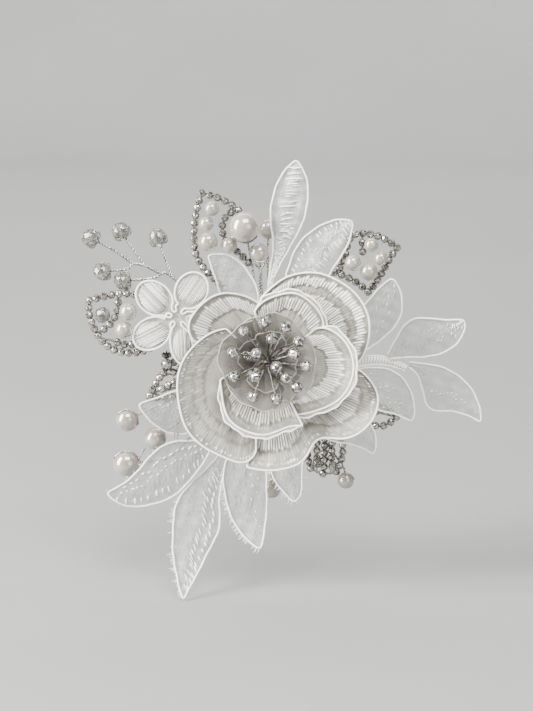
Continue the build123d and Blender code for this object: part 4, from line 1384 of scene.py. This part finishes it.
PEARL_BENDS = {
    "large": ((-8.2, -8.6, 39.4), 4.1, (-7.2, 33.5)),
    "top_right": ((-1.8, -0.6, 37.8), 2.8, (-1.9, 33.0)),
    "top_low": ((-4.4, -3.9, 31.7), 2.7, (-3.9, 27.5)),
    "left_high": ((-40.6, -3.0, -14.8), 3.2, (-35.5, -12.5)),
    "left_mid": ((-33.0, -2.4, -20.2), 3.1, (-28.0, -16.8)),
    "left_low": ((-41.0, -3.0, -27.2), 3.8, (-29.0, -26.0)),
    "bottom_right": ((19.6, -4.0, -31.8), 2.3, (19.3, -29.0)),
    "bottom": ((-0.9, -3.0, -34.6), 2.5, (-1.0, -31.0)),
}
ARCS = {
    "left_high": [((-0.75, -0.35, 0.55), (0.95, -0.3, -0.35), (0.3, -0.1, 0.85))],
    "left_low": [((-0.75, -0.3, 0.45), (0.98, -0.25, 0.3), (0.1, -0.1, 0.75))],
    "bottom_right": [((-0.6, -0.35, 0.7), (0.9, -0.3, 0.2), (0.2, -0.1, 0.6))],
    "left_mid": [((0.35, -0.8, 0.6), (0.95, -0.45, -0.1), (0.3, -0.2, 0.2))],
    "top_low": [((-0.5, -0.7, -0.6), (0.8, -0.5, -0.5), (0.2, -0.2, -0.4))],
    "large": [((-0.8, -0.3, -0.55), (0.9, -0.2, -0.5), (0.1, -0.1, -0.8))],
}
soup = Soup()
for name, (centre, radius, bend) in PEARL_BENDS.items():
    centre = np.array(centre) * MM
    start, knee = wire_plane([seat_rim(*bend), bend])
    near = centre + unit(knee - centre) * radius * 0.98 * MM
    route = np.vstack([resample([start, knee], 30)[:-1], resample([knee, near], 12)])
    add_strands(soup, softened(route, 4), 0.17, 0.15, 1.7)
    for first, last, bulge in ARCS.get(name, ()):
        add_wire_arc(soup, centre, radius * MM, np.array(first), np.array(last), np.array(bulge))
low_pearl = np.array(PEARL_BENDS["left_low"][0]) * MM
stub = [low_pearl + np.array(p) * MM for p in ((3.4, -1.4, 1.6), (4.3, -1.2, 3.2), (5.4, -0.9, 5.0))]
add_strands(soup, spline(stub, 24), 0.18, 0.15, 1.4)
fork = ((-5.6, -4.6, 28.8), (-4.0, -4.4, 27.2), (-4.1, -3.6, 23.0), (-3.2, -3.0, 14.0))
add_strands(soup, spline(np.array(fork) * MM, 60), 0.2, 0.17, 1.8)
fork = ((-2.0, -4.2, 29.8), (-3.6, -4.5, 27.6), (-4.0, -4.4, 26.6))
add_strands(soup, spline(np.array(fork) * MM, 24), 0.18, 0.14, 1.6)
soup.build("twisted_pearl_wires", WIRE, "silver_wire", "pearl_wires")

# Short wires that tie a few of the pearls down inside the chain leaves.
soup = Soup()
for k, (centre, radius) in enumerate(balls("leaf_pearls")):
    turn = draw.uniform(-0.6, 0.6)
    if k % 3:
        continue
    side = np.array((math.cos(turn), -0.25, math.sin(turn)))
    other = np.array((0.1, -0.75, -0.75))
    add_wire_arc(soup, centre, radius, side, other, np.array((0.5, -0.3, -0.2)), 0.1)
soup.build("pearl_ties", WIRE, "silver_wire")


# ---- crystal sprig ------------------------------------------------------------------------
def add_faceted_ball(soup, centre, radius, hole_axis, bands=7, segments=10):
    """A fire-polished crystal bead: rows of flat kite facets between two drilled ends."""
    side, other = plane_of(hole_axis)
    spin = draw.uniform(0, 2 * math.pi)
    rings = []
    for k in range(bands + 1):
        polar = math.pi * (0.07 + 0.86 * k / bands)
        angles = spin + (np.arange(segments) + 0.5 * (k % 2)) * 2 * np.pi / segments
        ring = around(angles, side, other)
        rings.append(centre + radius * (math.sin(polar) * ring + math.cos(polar) * hole_axis))
    triangles = []
    for k in range(bands):
        low, high = rings[k], rings[k + 1]
        for i in range(segments):
            j = (i + 1) % segments
            if k % 2 == 0:
                triangles += [(low[i], low[j], high[i]), (high[i], low[j], high[j])]
            else:
                triangles += [(low[i], low[j], high[j]), (high[i], low[i], high[j])]
    for ring, depth in ((rings[0], 0.62), (rings[-1], -0.62)):
        dimple = centre + hole_axis * radius * depth
        triangles += [(ring[i], ring[(i + 1) % segments], dimple) for i in range(segments)]
    add_facets(soup, triangles, centre)


CRYSTAL_RADIUS = 2.45 * MM
SPRIG_STEM = [(-27.8, 24.8), (-30.9, 25.8), (-35.2, 28.0), (-38.5, 28.6)]
SPRIG_TWIGS = [
    [(-38.5, 28.6), (-43.5, 32.2), (-49.8, 35.6)],
    [(-35.2, 28.0), (-38.4, 32.6), (-41.6, 37.5)],
    [(-27.8, 24.8), (-29.8, 30.4), (-31.7, 35.8)],
    [(-38.5, 28.6), (-40.2, 27.0), (-46.8, 26.4)],
    [(-30.9, 25.8), (-33.0, 24.6), (-41.4, 23.8)],
]
crystals, wires = Soup(), Soup()
stem_line = wire_plane([seat_rim(*SPRIG_STEM[0]), *SPRIG_STEM])
add_strands(wires, spline(stem_line, 90), 0.21, 0.2, 1.9, 3)
for twig in SPRIG_TWIGS:
    points = wire_plane(twig)
    run = unit(points[2] - points[1])
    stop = points[2] - run * 1.9 * MM
    add_strands(wires, spline([points[0], points[1], stop], 50), 0.2, 0.18, 1.9)
    side = unit(np.cross(run, VIEWER))
    add_faceted_ball(crystals, points[2], CRYSTAL_RADIUS, side)
    thread = [points[2] + side * s * 2.5 * MM for s in (-1, 1)]
    add_tube(wires, resample(thread, 14), 0.17 * MM, 6)
    for s in (-1, 1):
        eye = points[2] + side * s * CRYSTAL_RADIUS
        bend = points[2] + side * s * 2.1 * MM - run * 1.9 * MM
        add_tube(wires, spline([eye, bend, stop - run * 0.4 * MM], 16), 0.17 * MM, 6)
crystals.build_facets("faceted_crystals_sprig", CRYSTAL, "crystal", "sprig_crystals")
wires.build("twisted_sprig_wires", WIRE, "silver_wire", "sprig_wires")

soup = Soup()
for centre, radius in balls("leaf_crystals"):
    add_faceted_ball(soup, centre, radius, unit(np.array((0.5, 0.1, 1.0))))
soup.build_facets("faceted_crystals_leaves", CRYSTAL, "crystal", "leaf_crystals")

# Black faceted rondelle on its pin.
low, high = (np.array(corner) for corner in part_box("black_bead"))
centre, radius = (low + high) / 2, (high - low)[0] / 2
soup = Soup()
rings = []
for level, reach, shift in ((-1.0, 0.62, 0), (-0.45, 0.98, 0.5), (0.45, 0.98, 0), (1.0, 0.62, 0.5)):
    angles = (np.arange(12) + shift) * 2 * np.pi / 12
    x, y = np.cos(angles) * radius * reach, np.sin(angles) * radius * reach
    rings.append(centre + np.column_stack([x, y, np.full(12, level * (high - low)[2] / 2)]))
for k in range(3):
    for i in range(12):
        j = (i + 1) % 12
        a, b, c, d = rings[k][i], rings[k][j], rings[k + 1][j], rings[k + 1][i]
        if k % 2 == 0:
            for face in ((a, b, d), (d, b, c)):
                soup.add(face, [(0, 1, 2)], np.full(3, draw.random()))
        else:
            soup.add((a, b, c, d), [(0, 1, 2, 3)], np.full(4, draw.random()))
soup.add(rings[0][::-1], [tuple(range(12))])
soup.add(rings[3], [tuple(range(12))])
soup.build_facets("black_rondelle", BLACK, "black_glass", "black_bead")
soup = Soup()
stone_at = np.array((-29.6, -4.1, 1.2)) * MM
add_brilliant(soup, stone_at, VIEWER, 1.3 * MM, 0.9 * MM, 8)
soup.build_facets("brilliant_under_bead", STONE, "rhinestone")
soup = Soup()
add_claws(soup, stone_at - VIEWER * 0.5 * MM, VIEWER, 1.32 * MM, 1.2 * MM, 4, 0.18)
add_cup_wall(soup, stone_at, VIEWER, 1.38 * MM, 0.9 * MM, count=20)
soup.build("claws_under_bead", CHAIN, "silver_chain")


# ---- felt ---------------------------------------------------------------------------------
def felt_plate(name, node, outline_points, y_back, y_front, fuzz):
    """A thick felt cut-out with rounded edges, a soft uneven face and stray fibres."""
    count = len(outline_points)
    centre = outline_points.mean(0)
    profile = [(v, 1.0) for v in np.linspace(0.04, 0.94, 16)]
    profile += [(0.985, 0.92), (0.999, 0.7), (1.0, 0.5), (0.999, 0.3), (0.985, 0.08)]
    profile += [(v, 0.0) for v in np.linspace(0.94, 0.04, 16)]
    rings = []
    for reach, level in profile:
        ring = np.empty((count, 3))
        ring[:, [0, 2]] = centre + (outline_points - centre) * reach
        ring[:, 1] = y_front + (y_back - y_front) * level
        if level in (0.0, 1.0):
            uneven = np.sin(ring[:, 0] * 900 + ring[:, 2] * 500) * np.cos(ring[:, 2] * 1100)
            ring[:, 1] += 0.05 * MM * uneven
        rings.append(ring)
    soup = Soup()
    soup.add(np.array(rings), capped_faces(len(rings), count), np.full((len(rings), count), 0.5))
    cloth = soup.build(name, FELT, "felt", node)
    fibres = Soup()
    for _ in range(fuzz):
        i = draw.randrange(count)
        out = outline_points[i] - centre
        out = np.array((out[0], 0, out[1])) / np.linalg.norm(out)
        y = y_front + (y_back - y_front) * draw.uniform(0.1, 0.9)
        start = np.array((outline_points[i][0], y, outline_points[i][1]))
        drift = np.array([draw.uniform(-0.7, 0.7) for _ in range(3)])
        reach = draw.uniform(0.3, 0.9) * MM
        middle = start + (out + drift * 0.3) * reach * 0.5
        points = spline([start - out * 0.2 * MM, middle, start + (out * 0.8 + drift) * reach], 6)
        add_tube(fibres, points, 0.02 * MM, 4)
    hairs = fibres.build(name + "_fibres", FELT, "felt")


low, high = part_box("felt_pad")
half_x, half_z = (high.x - low.x) / 2, (high.z - low.z) / 2
ring = full_turn(180)
cut = 1 + 0.004 * np.sin(ring * 7) + 0.003 * np.sin(ring * 13 + 1)
felt_plate(
    "felt_backing", "felt_pad", np.column_stack([half_x * np.cos(ring) * cut, half_z * np.sin(ring) * cut]),
    high.y, low.y, 420,
)

low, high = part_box("felt_cover_strip")
width, height = high.x - low.x, high.z - low.z
# The strip bends up over the arm: its height follows how near it is to the arm.
_, arm_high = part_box("clip_upper_arm")
columns, rows = 81, 41
xs = np.linspace(low.x + 0.1 * MM, high.x - 0.1 * MM, columns)
over = smoothstep((arm_high.x + 1.6 * MM - np.abs(xs)) / (1.6 * MM))
front_y = 0.12 * MM + over * (high.y - 0.7 * MM - 0.12 * MM)
soup = Soup()
zs = np.linspace(low.z + 0.1 * MM, high.z - 0.1 * MM, rows)
sheets = []
corner = 2.0 * MM
for lift in (0.0, 0.62 * MM):
    grid = np.empty((rows, columns, 3))
    for i, z in enumerate(zs):
        from_end = min(z - low.z, high.z - z)
        pull = corner - math.sqrt(max(0.0, corner**2 - (corner - min(corner, from_end)) ** 2))
        x = np.sign(xs) * np.minimum(np.abs(xs), width / 2 - pull)
        grid[i, :, 0] = x
        grid[i, :, 1] = front_y + lift + 0.04 * MM * np.sin(x * 1300 + z * 700)
        grid[i, :, 2] = z
    sheets.append(grid)
add_slab(soup, sheets[1], sheets[0], np.zeros((rows, columns)))
strip = soup.build("felt_cover", FELT, "felt", "felt_cover_strip")

# The core under the rose: discs of stiffened felt, each with a soft rounded edge, cut to the rose's tilt.
low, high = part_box("rose_seat")
centre_x, centre_z = (low.x + high.x) / 2, (low.z + high.z) / 2
seat_radius = (high.x - low.x) / 2
SIDES = 120
angles = full_turn(SIDES)
rings = []
layers = 5
for k in range(layers * 6 + 1):
    share = k / (layers * 6)
    groove = 0.35 * MM * abs(math.cos(math.pi * share * layers)) ** 6
    radius = seat_radius - 0.05 * MM - groove
    x, z = centre_x + radius * np.cos(angles), centre_z + radius * np.sin(angles)
    ring = np.column_stack([x, np.zeros(SIDES), z])
    top = ROSE_ORIGIN - ROSE_AXIS * 0.4 * MM
    top_y = top[1] - ((ring[:, 2] - top[2]) * ROSE_AXIS[2]) / ROSE_AXIS[1]
    ring[:, 1] = high.y + (top_y - high.y) * share
    rings.append(ring)
soup = Soup()
faces = [face[::-1] for face in capped_faces(len(rings), SIDES)]
soup.add(np.array(rings), faces, np.full((len(rings), SIDES), 0.5))
seat = soup.build("felt_rose_core", FELT, "felt", "rose_seat")

# ---- spring -------------------------------------------------------------------------------
PIVOT = np.array((0.0, 4.4, 4.5)) * MM
COIL_RADIUS = 1.35 * MM
COIL_HALF_LENGTH = 1.875
SPRING_WIRE = 0.3 * MM
turns = np.linspace(0, 5 * 2 * np.pi, 260)
x = (2 * turns / turns[-1] - 1) * COIL_HALF_LENGTH * MM
coil = np.column_stack([x, PIVOT[1] + COIL_RADIUS * np.sin(turns), PIVOT[2] + COIL_RADIUS * np.cos(turns)])
leg = resample([(-COIL_HALF_LENGTH * MM, 1.4 * MM, 15 * MM), coil[0]], 40)
soup = Soup()
add_tube(soup, softened(np.vstack([leg[:-1], coil]), 2), SPRING_WIRE, 10)
soup.build("spring_coil", NICKEL, "nickel", "torsion_spring")
soup = Soup()
jaw_leg = resample([coil[-1], (COIL_HALF_LENGTH * MM, 8.7 * MM, 13 * MM)], 30)
add_tube(soup, jaw_leg, SPRING_WIRE, 10)
soup.build("spring_jaw_leg", NICKEL, "nickel", body="jaw")

# ---- CAD nodes that stay ------------------------------------------------------------------
KEPT = {"clip_upper_arm": NICKEL, "clip_lower_jaw": NICKEL, "hinge_pin": NICKEL, "bead_pin": WIRE}
KEPT.update({"rhinestone_frame_" + name: CHAIN for name in CHAIN_LEAVES})
for node, material in KEPT.items():
    NODES[node].data.materials.clear()
    NODES[node].data.materials.append(material)

# ---- stage --------------------------------------------------------------------------------
# A round floor that sweeps up into a wall all round, well outside every camera place.
floor_z = cad_box[0][2] - 0.3 * MM
FLAT_RADIUS, SWEEP_RADIUS, WALL_TOP = 1.1, 0.6, 1.3
profile = [(r, 0.0) for r in np.linspace(0.02, FLAT_RADIUS, 24)]
for a in np.linspace(0.05, math.pi / 2, 20):
    profile.append((FLAT_RADIUS + SWEEP_RADIUS * math.sin(a), SWEEP_RADIUS * (1 - math.cos(a))))
profile.append((FLAT_RADIUS + SWEEP_RADIUS, WALL_TOP))
turns = full_turn(96)
points = [(r * math.cos(a), r * math.sin(a), floor_z + h) for r, h in profile for a in turns]
mesh = bpy.data.meshes.new("studio_floor")
mesh.from_pydata(points, [], grid_faces(len(profile), 96, wrap=True) + [tuple(range(95, -1, -1))])
mesh.polygons.foreach_set("use_smooth", [True] * len(mesh.polygons))
mesh.materials.append(floor_material())
floor = bpy.data.objects.new("studio_floor", mesh)
bpy.context.scene.collection.objects.link(floor)

world = bpy.data.worlds.new("studio")
world.use_nodes = True
world.node_tree.nodes["Background"].inputs["Color"].default_value = (0.80, 0.82, 0.85, 1)
world.node_tree.nodes["Background"].inputs["Strength"].default_value = 0.56
bpy.context.scene.world = world


def area_light(name, position, target, size, power, colour=(1.0, 1.0, 1.0)):
    data = bpy.data.lights.new(name, "AREA")
    data.shape = "RECTANGLE"
    data.size, data.size_y = size
    data.energy = power
    data.color = colour
    lamp = bpy.data.objects.new(name, data)
    bpy.context.scene.collection.objects.link(lamp)
    lamp.location = position
    lamp.rotation_euler = (Vector(target) - Vector(position)).to_track_quat("-Z", "Y").to_euler()


CLIP = (0, 0, 0)
area_light("window_left", (-0.8, -0.3, 0.3), CLIP, (0.4, 1.0), 54.0, (1.0, 0.995, 0.98))
area_light("window_top", (0.12, -0.5, 0.8), CLIP, (0.6, 0.4), 17.0)
area_light("wall_wash", (0, 0.7, 1.1), (0, 1.6, 0.25), (1.4, 0.4), 38.0)
area_light("fill_front", (0.5, -0.75, 0.2), CLIP, (0.5, 0.5), 3.0)

# ---- camera -------------------------------------------------------------------------------
AIM = Vector((-2.3, -8.0, 4.36)) * MM
ELEVATION = math.radians(12)
DISTANCE = 0.5
LENS = 93.7
camera_data = bpy.data.cameras.new("camera")
camera_data.sensor_fit = "VERTICAL"
camera_data.sensor_height = 36.0
camera_data.lens = LENS
camera_data.clip_start = 0.01
camera = bpy.data.objects.new("camera", camera_data)
bpy.context.scene.collection.objects.link(camera)
camera.location = AIM + DISTANCE * Vector((0, -math.cos(ELEVATION), math.sin(ELEVATION)))
camera.rotation_euler = (AIM - camera.location).to_track_quat("-Z", "Y").to_euler()
bpy.context.scene.camera = camera
